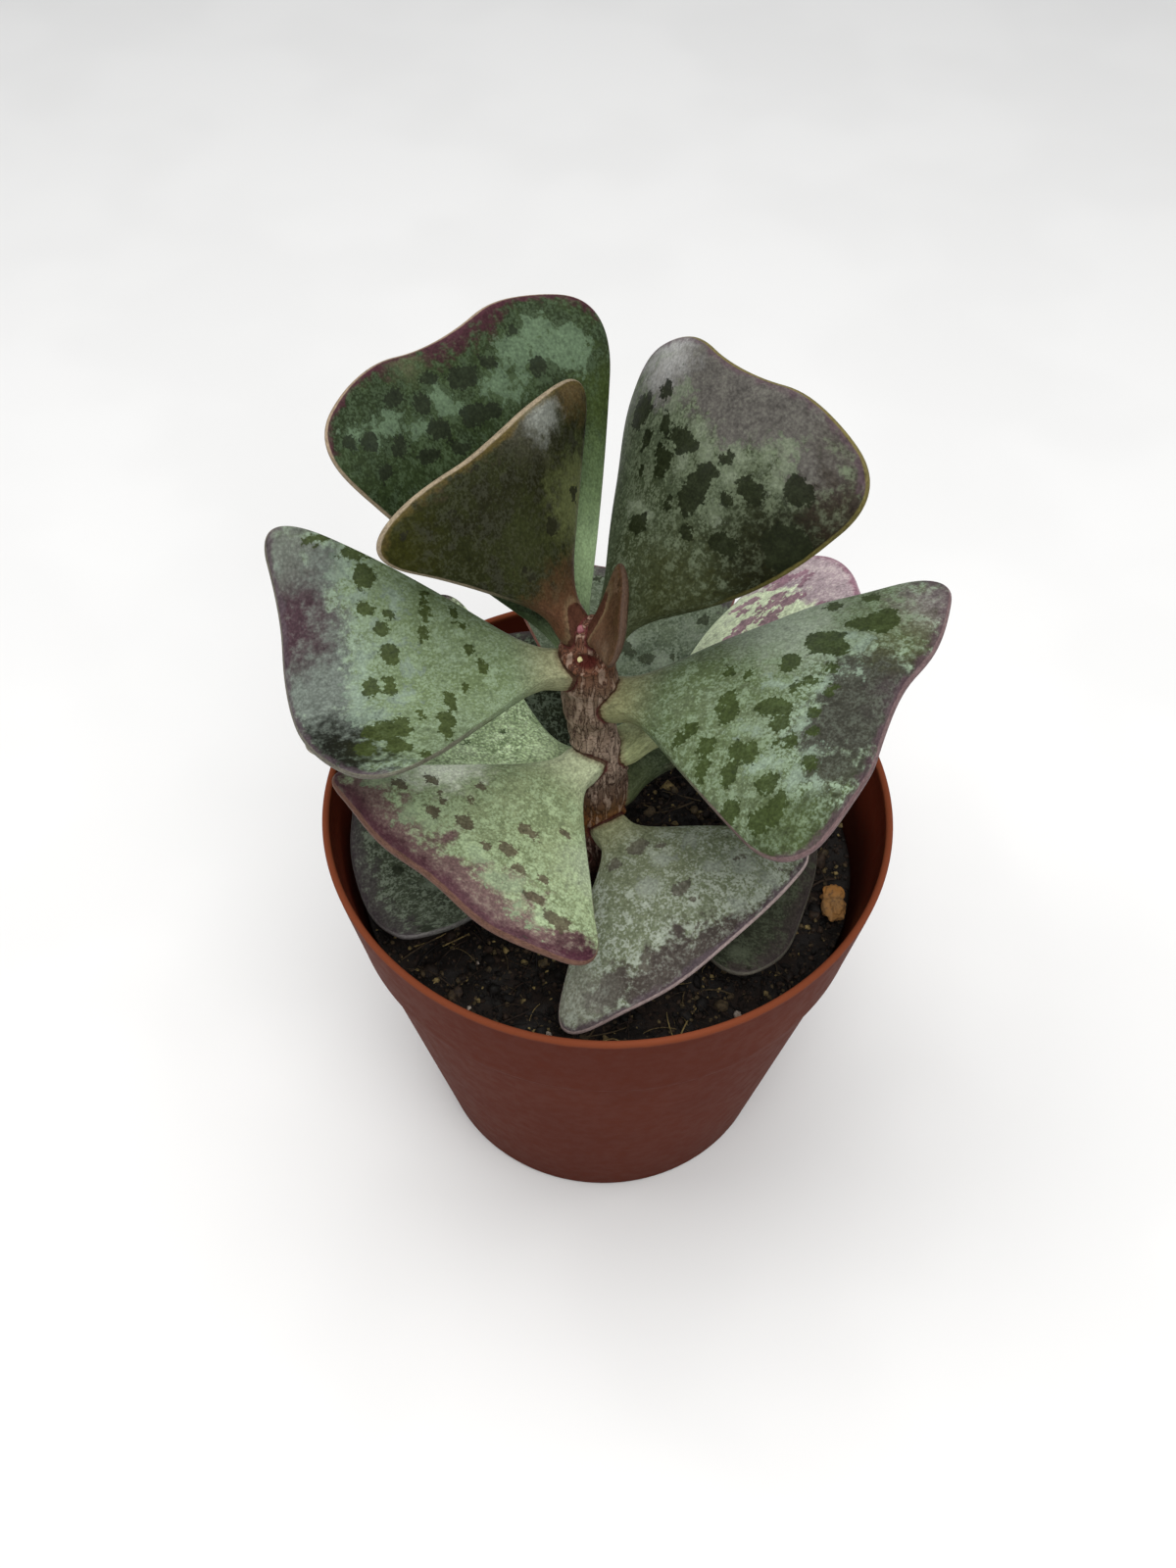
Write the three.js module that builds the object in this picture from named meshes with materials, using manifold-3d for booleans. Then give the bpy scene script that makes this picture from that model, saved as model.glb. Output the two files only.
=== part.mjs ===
// Potted calico hearts: a young succulent with about fifteen thick spotted
// leaves on a short woody stem, rooted in a small round plastic pot with a collar.
// Millimetres, +Z up, the pot's underside in the plane z = 0 with its axis on Z.

import * as THREE from 'three';
import { mergeVertices } from 'three/addons/utils/BufferGeometryUtils.js';
import Module from 'manifold-3d';

const wasm = await Module();
wasm.setup();

// Driving sizes

const GAP = 0.3;

const POT = {
  height: 57,
  rimRadius: 35,
  mouthRadius: 34.1,
  collarRadius: 32.6,
  collarHeight: 14.5,
  collarStep: 0.6,
  baseRadius: 23.2,
  innerTaper: 0.205,
  floor: 1.6,
  drainHoles: 4,
  drainRadius: 2.6,
  drainCircle: 15,
  sides: 56,
};

const SOIL = {
  level: 45,
  dome: 0.8,
  bumps: 0.5,
  rings: 6,
  sides: 44,
};

// The stem's axis: height, x and y of its centre, and its radius there
const STEM = [
  { z: 31, x: -1.6, y: -2.0, r: 1.6 },
  { z: 38, x: -1.6, y: -2.0, r: 2.1 },
  { z: 47.5, x: -1.6, y: -2.0, r: 2.3 },
  { z: 51, x: -1.1, y: -2.0, r: 2.4 },
  { z: 55, x: -0.8, y: -1.8, r: 2.4 },
  { z: 60, x: -0.6, y: -1.6, r: 2.6 },
  { z: 66, x: -1.0, y: -1.4, r: 2.7 },
  { z: 72, x: -2.0, y: -1.2, r: 2.9 },
  { z: 80, x: -2.5, y: -1.0, r: 2.9 },
  { z: 85, x: -2.7, y: -1.0, r: 2.6 },
  { z: 88, x: -2.7, y: -1.0, r: 2.0 },
];

const STEM_SIDES = 16;
const STEM_ROOT_RADIUS = 2.3;
const NODE_SWELLING = 0.35;

// A leaf grows from the stem at height z towards azimuth az. It climbs by rise
// degrees, and bends and sweeps by so many degrees over its length. Its blade is
// a fan: the left and right corners lie at (u, w), u along the midrib and w to
// the side, the far edge runs through far = [left, middle, right] beyond the
// length, the flanks bulge by bulge, and the corners are cut back by corner.
const LEAVES = [
  {
    name: 'leaf_right', z: 76.5, az: -18, rise: 22, roll: 8, bend: -3, sweep: -10,
    length: 37.5, left: [35.5, 23.5], right: [31.5, 21.5], far: [1, -1, 0.5],
    bulge: [0.5, 1], corner: [9, 8], cup: -0.1, stalk: 2.4, thick: 3.4,
    colour: '#8d9f8c',
  },
  {
    name: 'leaf_left', z: 81.2, az: 192, rise: 17, roll: -7, bend: -17, sweep: 7,
    length: 34.5, left: [28.5, 20], right: [33.5, 19.5], far: [0, 0.5, -1.5],
    bulge: [0, 1], corner: [7, 8], cup: 0.5, stalk: 2.1, thick: 3.4,
    colour: '#8ea092',
  },
  {
    name: 'leaf_back_left', z: 78.4, az: 119, rise: 48, roll: 6, bend: -4, sweep: 14,
    length: 41.5, left: [37.5, 23.5], right: [37, 21], far: [2, 0, 2],
    bulge: [0.5, 0], corner: [9, 8], cup: 0.2, stalk: 1.6, thick: 3.2,
    colour: '#44564a',
  },
  {
    name: 'leaf_back_right', z: 82.5, az: 41, rise: 48, roll: -7, bend: 6, sweep: 7,
    length: 36.5, left: [30, 20], right: [32, 18.5], far: [1, -0.5, 1.5],
    bulge: [0, 3.5], corner: [7, 6], cup: -0.4, stalk: 1.9, thick: 3.2,
    colour: '#55584c',
  },
  {
    name: 'leaf_upper_left', z: 85, az: 152, rise: 54, roll: 1, bend: 15, sweep: -12,
    length: 28.5, left: [24, 19], right: [24.5, 19], far: [-1.5, -2.5, -1],
    bulge: [-1, 1], corner: [6, 6], cup: -0.1, stalk: 1.8, thick: 2.8,
    colour: '#3d4029',
  },
  {
    name: 'leaf_young', z: 86, az: -43, rise: 57, roll: 42, bend: 0, sweep: 0,
    length: 10.5, left: [9, 6.4], right: [9, 6.4], far: [0, 0, 0],
    bulge: [0.3, 0.3], corner: [2, 2], cup: 0.4, stalk: 1.4, thick: 1.9,
    stalkLength: 3, columns: 8, rows: 9,
    colour: '#6a4a38',
  },
  {
    name: 'leaf_front_left', z: 67.5, az: 231, rise: 8, roll: -10, bend: 10, sweep: 5,
    length: 31, left: [26.5, 21], right: [28, 19.5], far: [0, 0, -0.5],
    bulge: [0, 0], corner: [7, 7], cup: 0, stalk: 2.2, thick: 3.4,
    colour: '#8a9f74',
  },
  {
    name: 'leaf_front_right', z: 55, az: -62, rise: 24, roll: 12, bend: -30, sweep: 5,
    length: 27, left: [21, 19], right: [23, 21.5], far: [-2, 0, 0],
    bulge: [1.5, 0.5], corner: [7, 7], cup: -0.2, stalk: 2.2, thick: 3.2,
    colour: '#7f8d78',
  },
  {
    name: 'leaf_low_left', z: 50.5, az: 195, rise: 5, roll: 5, bend: -8, sweep: 2,
    length: 30, left: [26, 15.5], right: [25.5, 16.5], far: [-1, 0.5, 0],
    bulge: [0.5, 0], corner: [7, 7], cup: 0.6, stalk: 2, thick: 2.8,
    colour: '#42514a',
  },
  {
    name: 'leaf_low_right', z: 49.5, az: -23, rise: 7, roll: 0, bend: -8, sweep: 2,
    length: 27.5, left: [23.5, 15.5], right: [23.5, 15.5], far: [-0.5, 0, 0],
    bulge: [0, 0], corner: [7, 7], cup: 0.3, stalk: 2, thick: 2.8,
    colour: '#36423a',
  },
  {
    name: 'leaf_far_right', z: 66.5, az: 24, rise: 18, roll: -12, bend: 8, sweep: -4,
    length: 36.5, left: [31, 20.5], right: [31, 18], far: [1, -0.5, 0],
    bulge: [1.5, 0], corner: [7, 7], cup: -0.2, stalk: 2.2, thick: 3,
    stalkLength: 9,
    colour: '#a3ae90',
  },
  {
    name: 'leaf_far_left', z: 63.5, az: 166, rise: 6, roll: 12, bend: -4, sweep: -6,
    length: 34, left: [29, 19], right: [28, 20], far: [0, 0, 0],
    bulge: [0, 1], corner: [7, 7], cup: 0.4, stalk: 2.2, thick: 3,
    colour: '#86a07c',
  },
  {
    name: 'leaf_back', z: 62, az: 86, rise: 6, roll: 0, bend: -3, sweep: 0,
    length: 34.5, left: [29, 15], right: [29, 17], far: [0.5, 0, 0.5],
    bulge: [0, 0], corner: [7, 7], cup: 0.3, stalk: 2.1, thick: 3,
    colour: '#3f4d44',
  },
  {
    name: 'leaf_low_back_left', z: 54, az: 104, rise: 5, roll: 0, bend: -2, sweep: -4,
    length: 32, left: [28, 15], right: [27, 13], far: [0, 0, 0],
    bulge: [0, 0], corner: [7, 7], cup: 0.4, stalk: 2, thick: 2.8,
    colour: '#3c4b40',
  },
  {
    name: 'leaf_low_back_right', z: 58, az: 50, rise: 5, roll: 0, bend: -4, sweep: -2,
    length: 26, left: [22, 9], right: [22, 11], far: [0, 0, 0],
    bulge: [0, 0], corner: [6, 6], cup: 0, stalk: 2, thick: 2.6,
    stalkLength: 9,
    colour: '#48583f',
  },
];

const LEAF_COLUMNS = 10;
const LEAF_ROWS = 13;
const STALK_LENGTH = 6;
const STALK_START = 1.2;
const MARGIN = 0.7;
const EDGE_WAVE = 0.35;

const PEBBLE = { angle: -15, radius: 29.4, size: [2.6, 1.4, 1.2], turn: 80, lift: 0.2 };

// Small helpers

const rad = (degrees) => degrees * Math.PI / 180;

function toGeometry(positions, indices) {
  const g = new THREE.BufferGeometry();
  g.setAttribute('position', new THREE.Float32BufferAttribute(positions, 3));
  g.setIndex(indices);
  return g;
}

function toSolid(geometry) {
  const g = geometry.clone();
  g.deleteAttribute('normal');
  g.deleteAttribute('uv');
  const merged = mergeVertices(g, 1e-4);
  const mesh = new wasm.Mesh({
    numProp: 3,
    vertProperties: new Float32Array(merged.attributes.position.array),
    triVerts: new Uint32Array(merged.index.array),
  });
  return new wasm.Manifold(mesh);
}

function fromSolid(solid) {
  const mesh = solid.getMesh();
  return toGeometry(Array.from(mesh.vertProperties), Array.from(mesh.triVerts));
}

function named(name, geometry, colour, roughness) {
  geometry.computeVertexNormals();
  const material = new THREE.MeshStandardMaterial({ color: colour, roughness, metalness: 0 });
  const mesh = new THREE.Mesh(geometry, material);
  mesh.name = name;
  return mesh;
}

// A solid of revolution about Z from a closed profile of [radius, height],
// whose first and last points lie on the axis
function revolve(profile, sides) {
  const g = new THREE.LatheGeometry(profile.map(([r, z]) => new THREE.Vector2(r, z)), sides);
  g.rotateX(Math.PI / 2);
  return g;
}

// A solid through rings that all hold the same number of points, with flat ends
function loft(rings) {
  const positions = rings.flat(2);
  const indices = [];
  const n = rings[0].length;
  for (let k = 0; k + 1 < rings.length; k += 1) {
    for (let i = 0; i < n; i += 1) {
      const a = k * n + i;
      const b = k * n + (i + 1) % n;
      indices.push(a, b, b + n, a, b + n, a + n);
    }
  }
  for (const [k, turned] of [[0, true], [rings.length - 1, false]]) {
    const middle = positions.length / 3;
    const sum = [0, 0, 0];
    for (const point of rings[k]) {
      point.forEach((value, axis) => { sum[axis] += value / n; });
    }
    positions.push(...sum);
    for (let i = 0; i < n; i += 1) {
      const a = k * n + i;
      const b = k * n + (i + 1) % n;
      indices.push(...(turned ? [middle, b, a] : [middle, a, b]));
    }
  }
  return toGeometry(positions, indices);
}

// Stem

function stemAt(z) {
  const last = STEM.length - 1;
  if (z <= STEM[0].z) return { ...STEM[0], z };
  if (z >= STEM[last].z) return { ...STEM[last], z };
  const k = STEM.findIndex((point) => point.z >= z);
  const a = STEM[k - 1];
  const b = STEM[k];
  const t = (z - a.z) / (b.z - a.z);
  const mix = (key) => a[key] + (b[key] - a[key]) * t;
  return { z, x: mix('x'), y: mix('y'), r: mix('r') };
}

function stemSwelling(z) {
  let swelling = 0;
  for (const leaf of LEAVES) {
    const d = (z - leaf.z + 1) / 1.3;
    swelling += NODE_SWELLING * Math.exp(-d * d);
  }
  return Math.min(swelling, 1.3 * NODE_SWELLING);
}

// The stem as a tube, wider all round by extra
function stemGeometry(extra) {
  const heights = [31, 35, 40, 44.5, 47.5];
  for (let z = 49; z <= 85; z += 2) {
    heights.push(z);
  }
  heights.push(86.5, 88);
  const rings = heights.map((z, k) => {
    const s = stemAt(z);
    const swelling = z > 48 && z < 86 ? stemSwelling(z) : 0;
    const last = k === heights.length - 1;
    const ring = [];
    for (let i = 0; i < STEM_SIDES; i += 1) {
      const a = i / STEM_SIDES * 2 * Math.PI;
      const ridge = z > 48 ? 0.1 * Math.sin(3 * a + 0.13 * z) : 0;
      const r = s.r + swelling + ridge + extra;
      ring.push([s.x + r * Math.cos(a), s.y + r * Math.sin(a), z + (last ? extra : 0)]);
    }
    return ring;
  });
  const top = rings[rings.length - 1];
  const s = stemAt(88);
  rings.push(top.map(([x, y]) => [
    s.x + (x - s.x) * 0.55,
    s.y + (y - s.y) * 0.55,
    89 + extra,
  ]));
  return loft(rings);
}

// Leaves

// Points on a line through corners, each corner cut back and rounded
function roundedLine(points, cuts) {
  const out = [];
  points.forEach((point, i) => {
    if (i === 0 || i === points.length - 1 || cuts[i] <= 0) {
      out.push(point);
      return;
    }
    const before = points[i - 1];
    const after = points[i + 1];
    const toBefore = Math.hypot(before[0] - point[0], before[1] - point[1]);
    const toAfter = Math.hypot(after[0] - point[0], after[1] - point[1]);
    const a = Math.min(cuts[i], toBefore / 2) / toBefore;
    const b = Math.min(cuts[i], toAfter / 2) / toAfter;
    for (let k = 0; k <= 8; k += 1) {
      const t = k / 8;
      const wa = (1 - t) * (1 - t) * a;
      const wb = t * t * b;
      out.push([0, 1].map((axis) => point[axis]
        + wa * (before[axis] - point[axis])
        + wb * (after[axis] - point[axis])));
    }
  });
  return out;
}

// The point at a fraction of the way along a line
function along(line, fraction) {
  const lengths = [0];
  for (let i = 1; i < line.length; i += 1) {
    const step = Math.hypot(line[i][0] - line[i - 1][0], line[i][1] - line[i - 1][1]);
    lengths.push(lengths[i - 1] + step);
  }
  const target = fraction * lengths[lengths.length - 1];
  let k = lengths.findIndex((length) => length >= target);
  if (k < 1) k = 1;
  const t = (target - lengths[k - 1]) / (lengths[k] - lengths[k - 1] || 1);
  return [0, 1].map((axis) => line[k - 1][axis] + t * (line[k][axis] - line[k - 1][axis]));
}

// The blade's outline in four lines that meet at the corners: from the stalk up
// the left flank, along the far edge, up the right flank, and across the stalk
function leafOutline(leaf) {
  const stalkEnd = leaf.stalkLength ?? STALK_LENGTH;
  const flank = ([u, w], bulge, side) => {
    const dx = u - stalkEnd;
    const dy = w - leaf.stalk;
    const long = Math.hypot(dx, dy);
    return [
      (u + stalkEnd) / 2 - dy / long * bulge,
      side * ((w + leaf.stalk) / 2 + dx / long * bulge),
    ];
  };
  const [uL, wL] = leaf.left;
  const [uR, wR] = leaf.right;
  const far = (k) => leaf.length + leaf.far[k];
  const reach = Math.min(9, leaf.length / 3.5);
  const points = [
    [STALK_START, leaf.stalk],
    [stalkEnd, leaf.stalk],
    flank(leaf.left, leaf.bulge[0], 1),
    [uL, wL],
    [far(0), wL / 2],
    [far(1), 0],
    [far(2), -wR / 2],
    [uR, -wR],
    flank(leaf.right, leaf.bulge[1], -1),
    [stalkEnd, -leaf.stalk],
    [STALK_START, -leaf.stalk],
  ];
  const flankCut = reach * 4 / 3;
  const cuts = [
    0, 5, flankCut, leaf.corner[0], reach, reach, reach, leaf.corner[1], flankCut, 5, 0,
  ];
  const line = roundedLine(points, cuts);
  // The corner lines end at the middle of each rounded corner
  const leftEnd = 1 + 9 + 9 + 4;
  const rightEnd = leftEnd + 9 * 4;
  return {
    left: line.slice(0, leftEnd + 1),
    far: line.slice(leftEnd, rightEnd + 1),
    right: line.slice(rightEnd).reverse(),
  };
}

function leafSolid(leaf) {
  const columns = leaf.columns ?? LEAF_COLUMNS;
  const rows = leaf.rows ?? LEAF_ROWS;
  const { left, far, right } = leafOutline(leaf);
  const ease = (t) => t + 0.07 * Math.sin(2 * Math.PI * t);
  // The midrib as a path in space, at every quarter of a millimetre
  const start = stemAt(leaf.z);
  const path = [];
  let point = new THREE.Vector3(start.x, start.y, leaf.z);
  const step = 0.25;
  const directionAt = (u) => {
    const t = u / leaf.length;
    const lift = rad(leaf.rise + leaf.bend * t);
    const turn = rad(leaf.az + leaf.sweep * t);
    const level = Math.cos(lift);
    return new THREE.Vector3(level * Math.cos(turn), level * Math.sin(turn), Math.sin(lift));
  };
  for (let u = 0; u <= leaf.length + 4; u += step) {
    path.push(point.clone());
    point = point.clone().addScaledVector(directionAt(u), step);
  }
  const roll = rad(leaf.roll);
  const place = (u, v, lift) => {
    const at = path[Math.min(path.length - 1, Math.round(u / step))];
    const rest = u - Math.min(path.length - 1, Math.round(u / step)) * step;
    const direction = directionAt(u);
    const turn = rad(leaf.az + leaf.sweep * u / leaf.length);
    const flat = new THREE.Vector3(-Math.sin(turn), Math.cos(turn), 0);
    const up = direction.clone().cross(flat);
    const side = flat.clone().multiplyScalar(Math.cos(roll)).addScaledVector(up, Math.sin(roll));
    const normal = up.clone().multiplyScalar(Math.cos(roll)).addScaledVector(flat, -Math.sin(roll));
    const height = leaf.cup * v * v / 20 + lift;
    return at.clone()
      .addScaledVector(direction, rest)
      .addScaledVector(side, v)
      .addScaledVector(normal, height);
  };
  const top = [];
  const bottom = [];
  for (let j = 0; j <= rows; j += 1) {
    const t = j / rows;
    const l = along(left, t);
    const r = along(right, t);
    for (let i = 0; i <= columns; i += 1) {
      const s = ease(i / columns);
      const f = along(far, 1 - s);
      const b = [STALK_START, leaf.stalk * (2 * s - 1)];
      const cl = left[left.length - 1];
      const cr = right[right.length - 1];
      const bl = left[0];
      const br = right[0];
      const uv = [0, 1].map((k) => (1 - s) * r[k] + s * l[k] + (1 - t) * b[k] + t * f[k]
        - ((1 - s) * ((1 - t) * br[k] + t * cr[k]) + s * ((1 - t) * bl[k] + t * cl[k])));
      const across = Math.abs(2 * s - 1);
      const body = Math.sqrt(Math.max(0, 1 - across ** 2.6)) * Math.sqrt(Math.max(0, 1 - t ** 8));
      const stalkShare = Math.max(0, 1 - uv[0] / (2.2 * STALK_LENGTH));
      const thick = leaf.thick + (1.7 * leaf.stalk - leaf.thick) * stalkShare ** 2;
      const half = MARGIN / 2 + (thick - MARGIN) / 2 * body;
      const wave = EDGE_WAVE * (uv[0] / leaf.length) ** 2 * Math.max(across ** 3, t ** 6)
        * Math.sin(uv[1] * 0.42 + uv[0] * 0.31 + leaf.z);
      top.push(place(uv[0], uv[1], wave + half));
      bottom.push(place(uv[0], uv[1], wave - half));
    }
  }
  const positions = [...top, ...bottom].flatMap((p) => [p.x, p.y, p.z]);
  const offset = top.length;
  const at = (i, j) => j * (columns + 1) + i;
  const indices = [];
  for (let j = 0; j < rows; j += 1) {
    for (let i = 0; i < columns; i += 1) {
      const [a, b, c, d] = [at(i, j), at(i + 1, j), at(i + 1, j + 1), at(i, j + 1)];
      const faces = i >= columns / 2 ? [a, c, b, a, d, c] : [a, d, b, b, d, c];
      indices.push(...faces);
      for (let k = 0; k < 6; k += 3) {
        indices.push(faces[k] + offset, faces[k + 2] + offset, faces[k + 1] + offset);
      }
    }
  }
  const rim = [];
  for (let j = 0; j < rows; j += 1) rim.push(at(0, j));
  for (let i = 0; i < columns; i += 1) rim.push(at(i, rows));
  for (let j = rows; j > 0; j -= 1) rim.push(at(columns, j));
  for (let i = columns; i > 0; i -= 1) rim.push(at(i, 0));
  rim.forEach((a, k) => {
    const b = rim[(k + 1) % rim.length];
    indices.push(a, a + offset, b, b, a + offset, b + offset);
  });
  return toSolid(toGeometry(positions, indices));
}

// Pot and soil

function potInside(z) {
  return POT.mouthRadius - (POT.height - z) * POT.innerTaper;
}

function potSolid() {
  const p = POT;
  const collarBottom = p.height - p.collarHeight;
  const profile = [
    [0, 0],
    [p.baseRadius - 0.7, 0],
    [p.baseRadius, 0.7],
    [p.collarRadius - p.collarStep, collarBottom - 0.4],
    [p.collarRadius, collarBottom],
    [p.rimRadius, p.height - 0.4],
    [p.rimRadius - 0.3, p.height],
    [p.mouthRadius, p.height],
    [potInside(p.floor), p.floor],
    [0, p.floor],
  ];
  let solid = toSolid(revolve(profile, p.sides));
  for (let k = 0; k < p.drainHoles; k += 1) {
    const a = (k + 0.5) / p.drainHoles * 2 * Math.PI;
    const hole = new THREE.CylinderGeometry(p.drainRadius, p.drainRadius, 4, 16);
    hole.rotateX(Math.PI / 2);
    hole.translate(p.drainCircle * Math.cos(a), p.drainCircle * Math.sin(a), 1);
    solid = solid.subtract(toSolid(hole));
  }
  return solid;
}

function soilHeight(x, y) {
  const far = Math.hypot(x, y) / 31;
  return SOIL.level + SOIL.dome * (1 - far * far)
    + SOIL.bumps * (Math.sin(0.43 * x + 1.3) * Math.cos(0.37 * y - 0.4)
    + 0.6 * Math.sin(0.81 * x - 0.66 * y));
}

function soilSolid() {
  const radiusAt = (z) => potInside(z) - GAP - 0.05;
  const rings = [];
  const ring = (radius, height) => {
    const points = [];
    for (let i = 0; i < SOIL.sides; i += 1) {
      const a = i / SOIL.sides * 2 * Math.PI;
      const x = radius * Math.cos(a);
      const y = radius * Math.sin(a);
      points.push([x, y, height ?? soilHeight(x, y)]);
    }
    return points;
  };
  rings.push(ring(radiusAt(POT.floor + GAP), POT.floor + GAP));
  for (let k = SOIL.rings; k >= 1; k -= 1) {
    rings.push(ring((radiusAt(SOIL.level) - 0.15) * k / SOIL.rings));
  }
  const body = toSolid(loft(rings));
  const hole = new THREE.CylinderGeometry(
    STEM_ROOT_RADIUS + GAP,
    STEM_ROOT_RADIUS + GAP,
    20,
    STEM_SIDES,
  );
  hole.rotateX(Math.PI / 2);
  hole.translate(STEM[0].x, STEM[0].y, 31 - GAP + 10);
  return body.subtract(toSolid(hole));
}

function pebbleGeometry() {
  const g = new THREE.SphereGeometry(1, 12, 8);
  g.scale(...PEBBLE.size);
  g.rotateZ(rad(PEBBLE.turn));
  const x = PEBBLE.radius * Math.cos(rad(PEBBLE.angle));
  const y = PEBBLE.radius * Math.sin(rad(PEBBLE.angle));
  g.translate(x, y, soilHeight(x, y) + PEBBLE.lift + PEBBLE.size[2]);
  return mergeVertices(g, 1e-4);
}

// The part

const part = new THREE.Group();
part.name = 'potted_calico_hearts';

part.add(named('pot', fromSolid(potSolid()), '#6b3424', 0.55));
part.add(named('soil', fromSolid(soilSolid()), '#241b16', 0.95));
part.add(named('stem', stemGeometry(0), '#7a6258', 0.85));

const clearance = toSolid(stemGeometry(GAP + 0.05));
for (const leaf of LEAVES) {
  const solid = leafSolid(leaf).subtract(clearance);
  part.add(named(leaf.name, fromSolid(solid), leaf.colour, 0.5));
}

part.add(named('pebble', fromSolid(toSolid(pebbleGeometry())), '#b39a78', 0.8));

export default part;
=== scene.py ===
"""Potted calico hearts: a small succulent with thick spotted leaves, in its plastic pot.

Run as a script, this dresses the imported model: fine leaves, bark, pot wall, soil and grit take
the places of the plain solids. Sizes in the tables are millimetres, and Blender's are metres.
"""

import math
import random

import bpy
import numpy as np
from mathutils import Matrix, Vector, noise
from mathutils.bvhtree import BVHTree


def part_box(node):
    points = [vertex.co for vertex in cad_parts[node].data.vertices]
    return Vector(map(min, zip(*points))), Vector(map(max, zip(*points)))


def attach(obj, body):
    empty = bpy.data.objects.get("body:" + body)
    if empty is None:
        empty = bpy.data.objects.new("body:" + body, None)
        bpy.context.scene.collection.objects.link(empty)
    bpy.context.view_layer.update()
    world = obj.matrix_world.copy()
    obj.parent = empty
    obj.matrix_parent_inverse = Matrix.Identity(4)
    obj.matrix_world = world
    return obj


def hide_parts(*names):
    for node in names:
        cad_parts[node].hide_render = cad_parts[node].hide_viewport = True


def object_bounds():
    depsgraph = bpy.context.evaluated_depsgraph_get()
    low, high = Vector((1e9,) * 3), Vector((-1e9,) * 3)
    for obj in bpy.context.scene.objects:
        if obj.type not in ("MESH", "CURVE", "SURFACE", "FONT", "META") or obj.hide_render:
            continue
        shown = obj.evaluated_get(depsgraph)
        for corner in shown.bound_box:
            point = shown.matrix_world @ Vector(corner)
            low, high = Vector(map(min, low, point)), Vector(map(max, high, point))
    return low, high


bl_info = {
    "name": "Potted calico hearts",
    "version": (1, 0, 0),
    "blender": (4, 5, 0),
    "location": "View3D > Sidebar > Calico hearts",
    "description": "A small spotted succulent in its plastic pot, fitted over its packed model",
    "category": "Add Mesh",
}

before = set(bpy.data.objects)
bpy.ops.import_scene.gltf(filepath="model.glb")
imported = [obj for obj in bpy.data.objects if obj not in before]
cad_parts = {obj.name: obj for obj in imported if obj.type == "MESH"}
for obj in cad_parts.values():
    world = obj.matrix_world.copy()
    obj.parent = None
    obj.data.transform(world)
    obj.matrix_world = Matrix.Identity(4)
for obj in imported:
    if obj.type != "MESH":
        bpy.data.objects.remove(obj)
CAD_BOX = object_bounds()

MM = 0.001

# The camera: degrees it looks down by and is turned about its line of sight, and its distance
# from the point that it looks at
CAMERA_DOWN = 50.75
CAMERA_TURN = 0.6
CAMERA_DISTANCE = 220.0
CAMERA_TARGET = (-2.44, 0, 60)

# The lamps are round and look at one point: their place, their width and their share of the power
LAMPS = {
    "softbox": ((-60, 60, 480), 420, 1.0),
    "front_box": ((50, -230, 410), 260, 0.75),
    "right_box": ((380, 60, 190), 200, 0.22),
    "left_box": ((-380, -20, 190), 200, 0.18),
}
LAMP_TARGET = (0, 0, 70)
LAMP_TINT = (1.0, 0.99, 0.97)
SKY_TINT = (0.97, 0.985, 1.0, 1)
FLOOR_HALF = 1600.0

# The pot: heights and radii as moulded
POT_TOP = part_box("pot")[1].z / MM
RIM_RADIUS = 35.0
MOUTH_RADIUS = 34.1
COLLAR_RADIUS = 32.6
COLLAR_BOTTOM = POT_TOP - 14.5
WALL_AT_COLLAR = 32.0
BASE_RADIUS = 23.2
INNER_TAPER = 0.205
FLOOR_THICKNESS = 1.6
DRAIN_HOLES = 4
DRAIN_CIRCLE = 15.0
DRAIN_SIDES = 40

# The soil's top: its level, its dome and its bumps
SOIL_LEVEL = 45.0
SOIL_RADIUS = 31.0
SOIL_DOME = 0.8
SOIL_BUMPS = 0.5
SOIL_CLEARANCE = 0.5
SOIL_FOOT = FLOOR_THICKNESS + 0.35
SOIL_SINK = 0.55
# Nothing is strewn nearer to the stem's axis than this
STEM_CLEARANCE = 3.6

# The stem's axis: height, x, y and radius
STEM = np.array([
    [31, -1.6, -2.0, 1.6],
    [38, -1.6, -2.0, 2.1],
    [47.5, -1.6, -2.0, 2.3],
    [51, -1.1, -2.0, 2.4],
    [55, -0.8, -1.8, 2.4],
    [60, -0.6, -1.6, 2.6],
    [66, -1.0, -1.4, 2.7],
    [72, -2.0, -1.2, 2.9],
    [80, -2.5, -1.0, 2.9],
    [85, -2.7, -1.0, 2.6],
    [88, -2.7, -1.0, 2.0],
])
# The bark runs from the foot up to the neck, and rounds over from there to the tip
STEM_FOOT, STEM_NECK, STEM_TIP = 31.0, 88.0, 89.0
# The stem swells by this much at each leaf, over this length and between these heights, and by
# no more than so many times it where leaves are close
NODE_SWELLING = 0.35
NODE_LENGTH = 1.3
NODES_FROM, NODES_TO = 48, 86
NODE_LIMIT = 1.3
# Bark takes no notice of a stalk that is further off than this
SEAM_REACH = 4.0

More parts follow.
